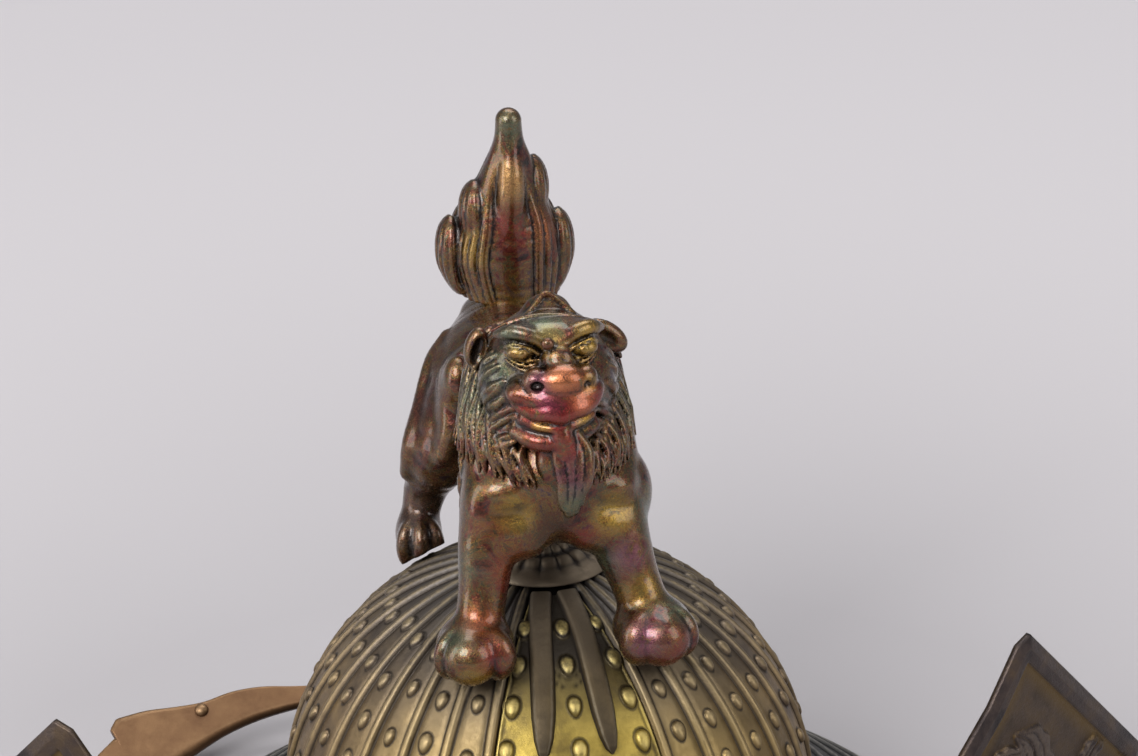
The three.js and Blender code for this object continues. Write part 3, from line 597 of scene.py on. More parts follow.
def lion_head():
    clay = Clay((-44, -80, 152), (40, 6, 248), 0.68)
    clay.masses(HEAD_MASSES)
    mane(clay)
    for side in (lambda path: path, mirrored):
        (centre,) = side([(-13.4, -59, 210.5)])
        clay.ball(centre, (7.5, 6.5, 5), 3)  # whisker pad
        brow = side([
            (-22, -45.5, 230.0, 1.6), (-17, -50.4, 232.4, 3.0), (-11, -53.6, 231.8, 3.0),
            (-5.5, -55.6, 229, 1.8),
        ])
        clay.strand(brow, 2.6)
        eye(clay, side)
    # Nose: a broad round tip, the nearer nostril's wing and both nostrils.
    clay.ball((0.8, -63.6, 216.2), (9.8, 6.6, 6.4), 2.5)
    clay.ball((-9.2, -62, 216), (5.6, 5.6, 5.4), 1.2)
    clay.ball((10.2, -61, 216), (4.6, 5.2, 5), 1.6)
    clay.ball((-9.6, -67.6, 214.9), (2.9, 3.6, 2.7), 0.8, cut=True)
    clay.ball((10.4, -66.4, 214.6), (1.6, 1.6, 1.5), 1.2, cut=True)
    clay.strand([
        (-16.5, -55, 219, 0.8), (-14.6, -59, 214, 1.1), (-10, -64.5, 209.6, 0.9),
    ], 1.0, cut=True)
    clay.ball((-4.1, -60, 230), (2.6, 2.2, 2.6), 0.6)
    clay.ball((-2, -63.4, 209.6), (11.5, 5.6, 4.6), 2.5)  # between the nose and the lip
    mouth(clay)
    # Top of the head: a fine rim, and a peaked hollow tuft behind it.
    clay.strand([
        (-23, -40, 229.5, 0.9), (-17, -42.5, 233.2, 1.0), (-8, -44, 235.8, 1.0), (2, -44, 235.6, 1.0),
        (11, -43, 233.4, 1.0), (17, -40, 229.6, 0.9),
    ], 0.5)
    clay.ball((-0.5, -32, 232), (10, 6, 8.5), 2)
    clay.strand([
        (-9.6, -38, 233.5, 1.0), (-5.5, -36, 237.6, 1.1), (-1, -34, 241.2, 1.2), (4.5, -35, 238, 1.1),
        (9.5, -37.5, 233.6, 1.0),
    ], 0.6)
    # Ears: cupped leaves. The right one faces forward, the left one lies out to the side.
    clay.ball((-28.2, -27.5, 218.6), (4.6, 4.2, 8.4), 1.0, turn=("Y", 16))
    clay.ball((-27.4, -32, 217.6), (3.2, 4.6, 6.8), 0.5, turn=("Y", 16), cut=True)
    clay.ball((23.6, -27.5, 219.4), (10, 3.6, 5.8), 1.0, turn=("Y", 36))
    clay.ball((23.6, -32.6, 219.2), (8.2, 3.2, 4.2), 0.5, turn=("Y", 36), cut=True)
    return clay


def eye(clay, side):
    """An almond eye between two fine lids, with wrinkles under it."""
    (socket, ball, iris) = side([(-13.6, -58, 225.2), (-13.6, -53.6, 225.3), (-13.6, -57.6, 225.4)])
    clay.ball(socket, (6.2, 3.0, 3.2), 2.0, cut=True)
    clay.ball(ball, (5.9, 4.2, 3.4), 0.5)
    clay.ball(iris, (2.0, 0.9, 2.0), 0.3)
    upper = [
        (-19.8, -50.5, 226.2, 0.7), (-16.8, -54.4, 228.8, 0.9), (-11.8, -56.6, 228.4, 0.9),
        (-7.2, -57.0, 224.8, 0.8),
    ]
    clay.strand(side(upper), 0.4)
    for drop, back, radius in ((0, 0, 0.8), (2.1, 0.1, 0.7), (4.0, 0.3, 0.6)):
        lower = [
            (-19.4, -50.5 + back, 225.4 - drop, 0.6), (-16, -54 + back, 223.0 - drop, radius),
            (-11.4, -56.2 + back, 222.0 - drop, radius), (-7.6, -57 + back, 222.8 - 0.6 * drop, 0.5),
        ]
        clay.strand(side(lower), 0.5)
    clay.strand(
        side([
            (-21, -48, 227.6, 0.5), (-17, -53.5, 229.8, 0.8), (-10.5, -57, 228.6, 0.8),
            (-6, -58.2, 225.6, 0.5),
        ]),
        0.6, cut=True,
    )


def mouth(clay):
    """A thick upper lip with turned-up corners, the teeth's edge, a chin roll and the beard."""
    clay.strand([
        (-16.4, -57.5, 210.6, 2.0), (-16, -60.4, 206.8, 2.9), (-10, -65.4, 204.2, 3.5),
        (-5, -67.4, 204.4, 3.7), (-1, -67.6, 203.2, 3.7), (4, -67.2, 204.8, 3.7),
        (8.6, -65.4, 205.2, 3.5), (13.6, -61, 207.6, 2.9), (15, -57.5, 211.4, 2.0),
    ], 1.0)
    clay.strand([
        (-15, -59.5, 209.4, 2.6), (-9, -64, 207.8, 3.6), (-1, -66, 207.2, 3.8), (7, -64.4, 208.4, 3.6),
        (12.5, -60, 210.4, 2.6),
    ], 3.0)
    clay.strand([
        (-14, -58.5, 199, 1.8), (-8, -63, 197.8, 2.4), (-1, -64.8, 197.6, 2.6), (6, -63, 198.2, 2.4),
        (12.5, -58.5, 199.4, 1.8),
    ], 1.5)
    clay.strand([
        (-17, -56.5, 193.4, 2.8), (-10.5, -61.6, 191.2, 3.8), (-3, -63.4, 190.6, 4.0),
        (5, -61.8, 191.2, 3.8), (13.5, -56, 193.6, 2.8),
    ], 1.6)
    clay.strand([
        (-17, -59, 201.4, 0.7), (-9, -65.5, 199.6, 1.0), (0, -67.6, 199.2, 1.1), (8, -65.3, 199.8, 1.0),
        (15, -58.5, 202, 0.7),
    ], 1.2, cut=True)
    # Tufts that grow back from the corners of the mouth.
    for top in (203, 199.5, 196, 192.5, 189):
        for steps in (
            [(-16.5, -56, 0, 0.8), (-20, -53, 2.4, 1.5), (-24, -48, 6.5, 1.5), (-27.5, -43, 13, 0.6)],
            [(14, -56, 0, 0.8), (17.5, -52, 2.4, 1.4), (21.5, -46, 7, 1.4), (25, -40, 13.5, 0.6)],
        ):
            clay.lay([(x, y, top - drop, radius) for x, y, drop, radius in steps], 0.7)
    # Short tufts over the cheeks, nearest the ears longest.
    for x, y, z, side, drop in (
        (-18, -50, 212, -1, 13), (-20.5, -47, 217, -1, 15), (-19, -51, 206, -1, 13),
        (-22, -44, 221, -1, 16), (17.5, -49, 209, 1, 13), (19, -46, 215, 1, 15), (20, -42, 220, 1, 16),
    ):
        for k in (0, 1):
            steps = [(0, 0, 0, 0.6), (2.6, 3.4, 0.3, 1.5), (5.4, 7, 0.7, 1.4), (6.6, 8, 1, 0.5)]
            tuft = [(x + a * side, y + b + 2.4 * k, z - c * drop, radius) for a, b, c, radius in steps]
            clay.lay(tuft, 0.7)
    # A ridge from the lip runs down into the beard, which hangs in blunt locks.
    clay.strand([
        (-0.5, -65.5, 199, 2.8), (0, -65.8, 194, 4.0), (1.5, -65.2, 187, 5.0), (2.5, -65.8, 180, 5.0),
    ], 1.8)
    beard = [(-1.6, -0.6, 164.5, 2.7), (2.2, 1.4, 161.8, 2.9), (6, 3.6, 162.6, 2.8), (9.6, 6, 166, 2.5)]
    for top, foot, end, radius in beard:
        middle = 0.45 * top + 0.55 * foot + 0.9
        clay.strand([
            (0.5 * top + 1, -63, 193, 2.4), (top, -66, 186.5, radius),
            (middle, -68.6, 176, radius + 0.3), (foot, -69, end + 5, radius),
            (foot, -68.6, end + 1, radius - 0.7),
        ], 0.7)
    for top, foot in ((0.2, 0.4), (4.2, 2.6), (7.8, 4.9)):
        clay.strand([
            (top, -69.5, 185, 0.35), (0.5 * (top + foot) + 0.6, -72, 176, 0.5), (foot, -72, 166, 0.35),
        ], 0.5, cut=True)


def mane(clay):
    """Stringy locks: listed one by one in front, and in rows that overlap down the back of the neck."""
    for path in MANE_LOCKS:
        path = smooth_path(path, 2)
        centre = np.array([-1, -22])
        for strand in (-2, -1, 0, 1, 2):
            rows = []
            for step, (x, y, z) in enumerate(path):
                share = step / (len(path) - 1)
                out = np.array([x, y]) - centre
                out /= np.linalg.norm(out)
                aside = np.array([-out[1], out[0]]) * strand * 1.35 * (1 - 0.5 * share**1.6)
                wave = 1.0 * sin(5.6 * share + 1.7 * strand)
                lift = 0.5 * (strand % 2) + 1.0 * share + 2.2 * share**4 - 0.6
                side_x, side_y = aside + out * lift + np.array([-out[1], out[0]]) * wave
                radius = (1.0 + 0.9 * share) * (1 - 0.7 * share**1.5)
                rows.append((x + side_x, y + side_y, z + 3 * (strand % 2) * share, radius))
            clay.strand(rows, 0.5, steps=2)
    centre, radii = np.array([-1.0, -22.0, 198.0]), np.array([30.5, 19.5, 31.5])
    for row, (height, count) in enumerate((
        (0.72, 9), (0.42, 11), (0.12, 13), (-0.18, 13), (-0.46, 12),
    )):
        for k in range(count):
            turn = 98 + 164 * (k + 0.5 * (row % 2)) / count
            for strand in (-1, 0, 1):
                rows = []
                for step in range(5):
                    level = height - 0.11 * step
                    ring = sqrt(1 - level * level)
                    a = radians(turn + strand * (5 - step) + 4 * sin(1.3 * step + row))
                    out = np.array([ring * sin(a), -ring * cos(a), level])
                    rows.append((*(centre + radii * out * (1.02 + 0.015 * step)), 2.0 - 0.3 * step))
                clay.strand(rows, 0.45, steps=1)


TAIL_FOOT = 200.6


def lion_tail():
    """A flame of hair round a smooth core, with curled locks at its sides."""
    clay = Clay((-38, 58, 199), (34, 114, 292), 0.75)
    spine = np.array([
        (0, 85, 199), (-1, 87, 218), (-1, 86, 234), (-1, 84, 248), (0, 81, 262), (0, 78.5, 271),
        (0, 77.5, 279.5),
    ], float)
    core = (18.5, 21, 17.8, 12.6, 8.4, 6.4, 5.2)
    clay.strand([(*point, radius) for point, radius in zip(spine, core)], 3)
    rings = np.array([(19, 18.5), (22.4, 20.5), (19, 18), (13, 13), (8, 8), (4.4, 4.4), (2.4, 2.4)])
    for k in range(30):
        angle = 2 * pi * (k + 0.5) / 30
        if abs((angle + pi) % (2 * pi) - pi) < 0.35:
            continue
        path = []
        for step, (point, (rx, ry)) in enumerate(zip(spine, rings)):
            turn = angle + 0.05 * step * sin(3 * angle) + 0.05 * sin(2.2 * step + 5 * angle)
            radius = (2.0, 2.3, 2.3, 2.0, 1.9, 1.8, 1.6)[step]
            path.append((point[0] + rx * sin(turn), point[1] - ry * cos(turn), point[2], radius))
        clay.strand(path, 0.9)
    # The broad smooth tongue in front, widest low down, that ends in the tip.
    clay.ball((-1, 73.5, 226), (8, 5, 22), 2.5)
    clay.strand([
        (-1, 72, 236, 5.0), (-0.5, 72, 246, 6.0), (0, 73, 257, 5.8), (0, 75.2, 266, 5.0),
        (0, 77.3, 275.5, 4.8), (0, 77.5, 280.2, 5.1),
    ], 2.0)
    # Side locks in steps, like tongues of flame, each a round lobe of fine strands.
    lobes = [
        (-25.2, 87, 221, 6, 9, 15, 206), (-15, 82, 239, 6, 9, 13.5, 224),
        (21.4, 87, 221, 6, 9, 15.5, 206), (11, 85, 248, 5.4, 8.5, 13.5, 232),
        (-14, 98, 222, 10, 9, 18, 201), (12, 98, 224, 10, 9, 18, 201),
    ]
    for x, y, z, rx, ry, rz, foot in lobes:
        side = copysign(1, x)
        clay.ball((x, y, z), (rx, ry, rz), 3)
        clay.ball((0.86 * x, y, foot + 4), (0.7 * rx, 0.9 * ry, 9), 3)
        for turn in (-80, -56, -32, -8, 16, 40):
            a = radians(turn)
            away, back = side * cos(a), ry * sin(a)
            low = 0.6 * foot + 0.4 * (z - 0.6 * rz)
            rows = [
                (0.86 * x + 3 * away, y + back, foot - 1, 2.0),
                (0.95 * x + 0.55 * rx * away, y + back, low, 1.8),
            ]
            for share in (-0.35, 0.1, 0.5, 0.8, 0.98):
                ring = sqrt(1 - share * share)
                out = x + rx * ring * away - 0.4 * side
                rows.append((out, y + ring * back, z + rz * share, 0.8 + ring))
            clay.strand(rows, 0.8)
    clay.strand([
        (-17, 80, 201, 1.6), (-8, 69.5, 201.5, 1.8), (4, 69, 201.5, 1.8), (16, 79, 201, 1.6),
    ], 1.0)
    clay.field = np.maximum(clay.field, (TAIL_FOOT - clay.axes[2])[None, None, :])
    return clay


# Patina of the lion: each colour, and where it gathers (x, y, z, reach in mm, strength).
PATINA = [
    # crimson
    ((0.17, 0.009, 0.009), [
        (-1, -68, 204, 10, 1.2), (-14, -62, 206, 8, 1.1), (13, -62, 207, 8, 1.0),
        (-9, -62, 190, 8, 0.9), (2, -68, 190, 6, 0.9), (8, -58, 148, 7, 0.6), (-16, -58, 126, 10, 0.8),
        (-30, -76, 106, 8, 0.7), (44, -74, 104, 9, 0.7), (38, -74, 96, 8, 0.7), (-2, 68, 236, 10, 0.7),
    ]),
    # pink
    ((0.42, 0.14, 0.055), [(-1, -70, 218, 7, 1.0), (7, -66, 209, 6, 0.8)]),
    # bronze red
    ((0.21, 0.046, 0.012), [
        (6, -68, 218, 6, 0.8), (9, -48, 234, 5, 0.6), (-26, -52, 154, 9, 0.6), (-20, -60, 136, 10, 0.8),
        (-34, -66, 116, 9, 0.8), (14, 72, 232, 10, 0.6),
    ]),
    # purple
    ((0.15, 0.040, 0.080), [
        (-9, -67, 217, 5, 0.8), (-5, -67, 209, 6, 0.8), (3, -70, 178, 8, 0.5), (27, -58, 138, 8, 0.7),
        (30, -74, 108, 9, 0.8),
    ]),
    # old gold
    ((0.33, 0.20, 0.026), [
        (-8, -65, 198, 4, 1.0), (9, -63, 198, 4, 1.0), (11, -66, 215, 4, 0.8), (-14, -54, 225, 6, 0.8),
        (11, -54, 225, 8, 0.8), (12, -52, 231, 6, 0.7), (-3, -54, 228, 7, 0.7), (-18, -56, 160, 9, 0.8),
        (20, -56, 156, 9, 0.9), (-38, -78, 98, 8, 0.6), (32, -58, 122, 9, 0.6), (-4, 78, 198, 14, 0.8),
        (-18, 70, 226, 9, 0.6),
    ]),
    # verdigris
    ((0.060, 0.095, 0.060), [
        (3, -70, 168, 9, 0.7), (-18, -52, 231, 6, 0.9), (-4, -50, 235, 9, 0.7),
        (-20, -46, 214, 12, 0.7), (-30, -34, 200, 16, 0.6), (28, -32, 195, 16, 0.5),
        (-34, -52, 136, 9, 0.7), (-44, -70, 112, 8, 0.7), (16, -56, 134, 9, 0.7),
        (38, -48, 150, 10, 0.8), (44, -66, 114, 9, 0.6), (0, 72, 278, 8, 0.7),
    ]),
    # umber
    ((0.05, 0.022, 0.01), [(-4, -60, 152, 11, 0.8)]),
    # sooty brown
    ((0.055, 0.03, 0.024), [(-48, 48, 108, 20, 0.85), (40, 48, 110, 20, 0.85)]),
    # dull brown
    ((0.075, 0.045, 0.032), [(-42, 50, 132, 14, 0.6)]),
    # dark rust
    ((0.075, 0.024, 0.012), [(-38, 46, 158, 22, 0.8)]),
    # chestnut
    ((0.13, 0.05, 0.018), [(-26, 66, 184, 14, 0.7)]),
    # amber
    ((0.4, 0.22, 0.08), [(-2, 66, 256, 10, 0.7)]),
]


def patina(points):
    """A colour for each point (red, green, blue, strength) from the PATINA spots."""
    total, weight = np.zeros((len(points), 3)), np.zeros(len(points))
    for colour, spots in PATINA:
        for *spot, reach, strength in spots:
            near = np.linalg.norm(points - spot, axis=1)
            share = strength * np.clip(1.25 - near / reach, 0, 1)
            total += share[:, None] * colour
            weight += share
    strength = np.clip(weight, 0, 0.95)
    return np.column_stack([total / np.maximum(weight, 1e-6)[:, None], strength])


for name, build, node in (
    ("lion_body", lion_body, "lion"),
    ("lion_head", lion_head, "lion"),
    ("lion_tail_flame", lion_tail, "lion_tail"),
):
    points, quads, wear = build().skin()
    piece = mesh_object(name, points, quads, lion_bronze, wear=wear, stain=patina(points))
    stand_for(piece, node, "lion_bronze")

crest_post = frame["nodes"]["crest_post"]
crest_post.data.materials.clear()
crest_post.data.materials.append(grey_iron)

# ---- Grids: rings of points joined into quads ----


def grid_faces(rings, columns, closed=False):
    """Quads between neighbouring rings of a (rings x columns) sheet of points."""
    across = np.arange(columns if closed else columns - 1)
    nxt = (across + 1) % columns
    start = np.arange(rings - 1)[:, None] * columns
    quads = np.stack([start + across, start + nxt, start + nxt + columns, start + across + columns], -1)
    return quads.reshape(-1, 4)


def sheet(name, points, wear, material, closed=False, flip=False):
    """points is (rings, columns, 3), and the wear with its painted light fits it, or one row or column of it.

    closed joins the last column to the first."""
    rings, columns = points.shape[:2]
    faces = grid_faces(rings, columns, closed)
    if flip:
        faces = faces[:, ::-1]
    wear = np.broadcast_to(wear, (rings, columns)).ravel()
    return mesh_object(name, points.reshape(-1, 3), faces, material, wear=wear)


def turned(r, azimuth, z):
    """Points at radius r and height z, with azimuth from the front towards +X, in radians."""
    return np.stack(np.broadcast_arrays(r * np.sin(azimuth), -r * np.cos(azimuth), z), -1)


def on_sphere(radius, azimuth, polar):
    """The same on a sphere, with polar from +Z, in radians."""
    return turned(radius * np.sin(polar), azimuth, radius * np.cos(polar))


def smooth_steps(rows, x):
    """Columns of a short table (first column the place), read off at x by straight lines."""
    rows = np.asarray(rows, float)
    return [np.interp(x, rows[:, 0], rows[:, i]) for i in range(1, rows.shape[1])]


# ---- Bowl and its front ----

CROWN_POLAR = radians(15.5)
FRONT_PLATES = 4
FRONT_RECESS = 2.2
BOWL_WALL = 3.2
PLATE_FACE = BOWL_RADIUS + 0.3
BOWL_RIVET, FRONT_RIVET = (3.9, 2.7), (4.7, 3.2)  # half length, half width
FRONT_EDGE = FRONT_PLATES / 2 * PLATE_ANGLE
RIVET_POLARS = [radians(34.7 + 9.4 * k) for k in range(6)]
# Across a rib: offset in mm, height in mm, wear (-1 dark dirt and painted shade in the grooves beside it, to 1 rubbed
# bright with a painted highlight on its crest).
RIB_SECTION = [
    (-3.3, 0.0, -0.1), (-2.6, -0.55, -1.0), (-2.0, 0.15, -0.7), (-1.45, 1.25, 0.5), (-0.8, 1.7, 0.95),
    (0.0, 1.8, 0.45), (0.8, 1.7, 0.8), (1.45, 1.25, 0.4), (2.0, 0.15, -0.8), (2.6, -0.55, -1.0),
    (3.3, 0.0, -0.1),
]


def bowl():
    polars = np.concatenate([
        np.linspace(0.03, CROWN_POLAR, 5), np.linspace(CROWN_POLAR, pi / 2, 56)[1:],
    ])
    offset, height, wear = np.array(RIB_SECTION).T
    points, tone = [], []
    for polar in polars:
        ring = BOWL_RADIUS * sin(polar)
        narrow = min(1, 0.47 * PLATE_ANGLE * ring / offset[-1])
        azimuth, out, worn_and_painted_light = [], [], []
        for plate in range(PLATES):
            middle = plate * PLATE_ANGLE
            here = middle + offset * narrow / ring
            plain = np.linspace(here[-1], middle + PLATE_ANGLE - offset[-1] * narrow / ring, 5)[1:-1]
            azimuth += [*here, *plain]
            out += [*height, 0, 0, 0]
            worn_and_painted_light += [*wear, 0, 0, 0]
        azimuth, out, worn_and_painted_light = np.array(azimuth), np.array(out), np.array(worn_and_painted_light)
        away = np.abs((azimuth + pi) % (2 * pi) - pi)
        behind = away < FRONT_EDGE - 1.9 / ring
        out = np.where(behind, -FRONT_RECESS, out)
        points.append(on_sphere(BOWL_RADIUS + out * min(1, narrow + 0.2), azimuth, polar))
        # Behind the front plate the recessed bowl is painted fully dark as shade; elsewhere each rib's wear and
        # painted light.
        tone.append(np.where(behind, -1, worn_and_painted_light))
    inside = BOWL_RADIUS - FRONT_RECESS - BOWL_WALL
    for polar in np.linspace(pi / 2, 0.03, 18):
        points.append(on_sphere(inside, azimuth, polar))
        tone.append(np.full(azimuth.shape, -0.4))
    return sheet("bowl_skin", np.array(points), tone, dark_bronze, closed=True)


# A rivet from its foot to its top: share of its outline, height in mm, wear. The low flat ring round its foot is
# painted dark as the shade of a groove, and its dome takes rubbed wear with a painted highlight.
RIVET_SECTION = [
    (1.3, 0.05, -0.25), (1.18, 0.12, -0.7), (1.03, 0.12, -0.9), (0.96, 0.75, -0.2), (0.82, 1.4, 0.35),
    (0.6, 1.85, 0.9), (0.32, 2.08, 1.0), (0.02, 2.15, 1.0),
]


def rivets(name, places, halves, material, seat):
    """Teardrop rivets, broad end up, at (azimuth, polar) places."""
    turn = np.linspace(0, 2 * pi, 16, endpoint=False)
    points, faces, tone = [], [], []
    share, height, wear = np.array(RIVET_SECTION).T
    for azimuth, polar in places:
        size = 1 + 0.06 * rng.standard_normal()
        ring = seat * sin(polar)
        taper = 1 + 0.2 * np.cos(turn)
        north = halves[0] * size * np.outer(share, np.cos(turn))
        east = halves[1] * size * np.outer(share, np.sin(turn) * taper)
        base = len(points) * turn.size
        sheet_points = on_sphere(seat + height[:, None], azimuth + east / ring, polar - north / seat)
        faces.append(grid_faces(len(share), turn.size, closed=True) + base)
        points.extend(sheet_points)
        tone.extend(np.repeat(wear[:, None], turn.size, 1))
    flat = np.array(points).reshape(-1, 3)
    return mesh_object(
        name, flat, np.concatenate(faces)[:, ::-1], material, wear=np.array(tone).ravel(),
    )


def plate_rivets():
    places = [
        (
            (plate + 0.5) * PLATE_ANGLE + 0.006 * rng.standard_normal(),
            polar + 0.012 * rng.standard_normal(),
        )
        for plate in range(2, PLATES - 2)
        for polar in RIVET_POLARS
    ]
    return rivets("bowl_rivets", places, BOWL_RIVET, dark_bronze, BOWL_RADIUS)


FRONT_COLUMNS = [radians(a) for a in (-17.2, 0.6, 17.6)]
FRONT_POLARS = [radians(a) for a in (25.5, 34.4, 43.3, 52.4, 61.8, 71.2, 80.6)]


def front_plate():
    polars = np.linspace(radians(15.8), radians(89), 90)
    share = np.linspace(-1, 1, 121)
    points, tone = [], []
    for polar in polars:
        ring = PLATE_FACE * sin(polar)
        half = FRONT_EDGE - 2.4 / ring
        inset = (1 - np.abs(share)) * half * ring  # mm from the plate's side edge
        # The plate's edge: dark at its foot and in the groove inside the lip as dirt and painted shade, bright on the
        # lip as rubbed wear and a painted highlight.
        lip = np.interp(inset, [0, 0.5, 1.0, 1.6, 2.2, 3], [-1.6, 0.0, 0.25, 0.0, -0.25, 0])
        worn_and_painted_light = np.interp(inset, [0, 0.5, 1.0, 1.6, 2.2, 3], [-1, 0.6, 1.0, 0.2, -0.9, 0])
        # Two shallow seams, each cut a little into the face and painted dark along its line as shade.
        for seam in (37.0, 39.2):
            arc = polar - radians(seam) + 0.035 * (share * half / 0.09) ** 2
            near = np.abs(share * half) < 0.085
            cut = np.where(near, np.exp(-((arc * PLATE_FACE / 0.55) ** 2)), 0)
            lip, worn_and_painted_light = lip - 0.35 * cut, worn_and_painted_light - cut
        points.append(on_sphere(PLATE_FACE + lip, share * half, polar))
        tone.append(worn_and_painted_light)
    return sheet("brow_plate", np.array(points), tone, gilt_bronze, flip=True)


def front_rivets():
    places = [(a + 0.008 * rng.standard_normal(), p) for a in FRONT_COLUMNS for p in FRONT_POLARS]
    return rivets("brow_rivets", places, FRONT_RIVET, gilt_bronze, PLATE_FACE)


# A dome finger down the brow: polar angle, offset from the middle, width, height.
FINGER = [
    (16, 5.3, 8.8, 2.3), (20, 6.8, 9.0, 2.5), (28, 8.9, 9.2, 2.7), (37, 10.5, 9.4, 2.8),
    (45, 12.0, 9.0, 2.8), (50, 13.0, 7.0, 2.5), (52.6, 13.6, 4.2, 1.8), (53.8, 13.9, 0.8, 0.4),
]
# Across a finger: share of the half width, share of the height, wear: dirt and painted shade at its foot on the bowl,
# rubbed wear with a painted highlight on its shoulders.
FINGER_SECTION = [
    (-1.16, -0.25, -0.8), (-1.0, 0.1, -0.8), (-0.93, 0.58, 0.2), (-0.8, 0.88, 0.7), (-0.6, 0.98, 0.15),
    (-0.3, 1.0, -0.1), (0, 1.02, -0.1),
]
FINGER_SECTION += [(-across, up, wear) for across, up, wear in FINGER_SECTION[-2::-1]]


def finger(name, side):
    seat = BOWL_RADIUS + 0.65
    polars = np.concatenate([np.linspace(16, 48, 26), np.linspace(48, 53.8, 16)[1:]])
    offset, width, height = smooth_steps(FINGER, polars)
    across, up, wear = np.array(FINGER_SECTION).T
    polar = np.radians(polars)[:, None]
    azimuth = (side * offset[:, None] + across * width[:, None] / 2) / (seat * np.sin(polar))
    points = on_sphere(seat + up * height[:, None], azimuth, polar)
    tone = np.repeat(wear[None, :], len(polars), 0)
    tone[:28] = np.minimum(tone[:28], np.linspace(-0.3, 1, 28)[:, None])
    return sheet(name, points, tone, finger_bronze, flip=True)


# Crown rosette, from its foot up: radius, rise above the foot, wear (dark as dirt and painted shade where a tier steps
# in, bright as rubbed wear and a painted highlight on a tier's edge), how deep its petals are cut.
ROSETTE = [
    (28.6, 0.2, -0.6, 0.0), (28.6, 0.8, 0.0, 0.0), (27.8, 1.7, 0.4, 0.0), (25.8, 2.8, 0.0, 0.0),
    (23.6, 3.7, 0.0, 0.2), (22.0, 4.2, -0.2, 0.5), (21.0, 5.0, -0.5, 0.8), (19.4, 6.8, 0.4, 1.2),
    (17.0, 7.8, 0.5, 1.2), (15.0, 7.4, -0.8, 0.8), (12.6, 7.2, -1.0, 0.6), (12.2, 8.6, 0.2, 1.0),
    (10.6, 9.6, 0.5, 1.0), (8.0, 9.5, -0.5, 0.4), (5.0, 10.2, 0.0, 0.0), (0.2, 10.4, 0.2, 0.0),
]


def rosette():
    turn = np.linspace(0, 2 * pi, 256, endpoint=False)
    radius, rise, wear, cut = np.array(ROSETTE).T[:, :, None]
    notch = (1 - np.abs(np.cos(8 * turn))) ** 2  # 1 in the cuts between 16 petals
    r = radius * (1 - 0.06 * cut * notch)
    foot = sqrt((BOWL_RADIUS + RIB_HEIGHT) ** 2 - 28**2)
    z = foot + rise - 0.7 * cut * notch * (rise > 1)
    points = turned(r, turn, z)
    # The cuts between the petals are painted dark as shade.
    tone = wear - 1.2 * cut * notch
    return sheet("rosette_petals", points, tone, finger_bronze, closed=True)


# ---- Base band, visor and neck guard ----


def around(name, profile, start, end, material, wear, reach=None):
    """An (r, z) profile, closed, swept round the Z axis between two azimuths in degrees."""
    steps = int((end - start) / 1.5) + 1
    azimuth = np.radians(np.linspace(start, end, steps))
    profile = np.array(profile, float)
    profile = np.vstack([profile, profile[:1]])
    wear = np.array([*wear, wear[0]], float)
    rings = np.repeat(profile[None], steps, 0)
    if reach is not None:
        rings = reach(rings, azimuth)
    # Drawing the ring in to one point closes each end.
    ends = rings.mean(1, keepdims=True) + 0 * rings
    rings = np.concatenate([ends[:1], rings, ends[-1:]])
    azimuth = np.concatenate([azimuth[:1], azimuth, azimuth[-1:]])[:, None]
    points = turned(rings[..., 0], azimuth, rings[..., 1])
    return sheet(name, points, wear, material)


def base_band():
    profile = [
        (110.2, -0.5), (112.2, -0.5), (112.9, -1.2), (112.9, -3.2), (112.2, -3.8), (112.2, -20.6),
        (112.9, -21.2), (112.9, -23.2), (112.3, -23.9), (110.2, -23.9),
    ]
    # Bright on the beads' edges and dark on the band's face between them: rubbed wear and dirt, with a painted
    # highlight and painted shade.
    wear = [-0.5, 0.2, 0.9, 0.4, -0.8, -0.8, 0.4, 0.9, 0.2, -0.5]
    return around("band_hoop", profile, 0, 360, dark_bronze, wear)


VISOR_HALF = 52.5  # degrees to each side
VISOR_RADIUS, VISOR_TOP = 113.8, -13  # where it leaves the bowl


def visor():
    thickness, slope = 2.6, tan(radians(24))
    # Share of the way out, height over the sloping face, wear: dark at the root and in the groove by the edge as dirt
    # and painted shade, bright on the edge as rubbed wear and a painted highlight.
    section = [
        (0, 0, -0.6), (0.08, 0, -0.2), (0.86, 0, 0), (0.9, -0.3, -0.9), (0.93, 0, 0.4), (0.975, 0, 0.8),
        (1, -0.7, 0.7),
    ]
    share, lift, wear = np.array(section).T
    share = np.concatenate([share, [1, 0.97, 0]])
    lift = np.concatenate([lift, [0.5 - thickness, -thickness, -thickness]])
    wear = [*wear, 0.2, -0.2, -0.6]

    def reach(rings, azimuth):
        out = 5 + 36 * np.cos(np.degrees(azimuth) / VISOR_HALF * pi / 2)
        r = VISOR_RADIUS + share * out[:, None]
        z = VISOR_TOP - share * out[:, None] * slope + lift
        return np.stack([np.hstack([r, r[:, :1]]), np.hstack([z, z[:, :1]])], -1)

    return around(
        "visor_peak", np.zeros((len(share), 2)), -VISOR_HALF, VISOR_HALF, grey_iron, wear, reach,
    )


LAME_SLOPE = radians(27)
LAME_ENDS = (120, 112.5, 105, 97.5)  # half arc from the back, from the top lame down
LAME_RADIUS, LAME_TOP, LAME_GAP = 114.4, -6, 0.35  # the top lame's upper edge, and the gap
LAME_WIDTH, LAME_STEP, LAME_THICKNESS, LAME_LIP, FOOT_WIDTH = 23, 19, 2, 1.2, 3.5


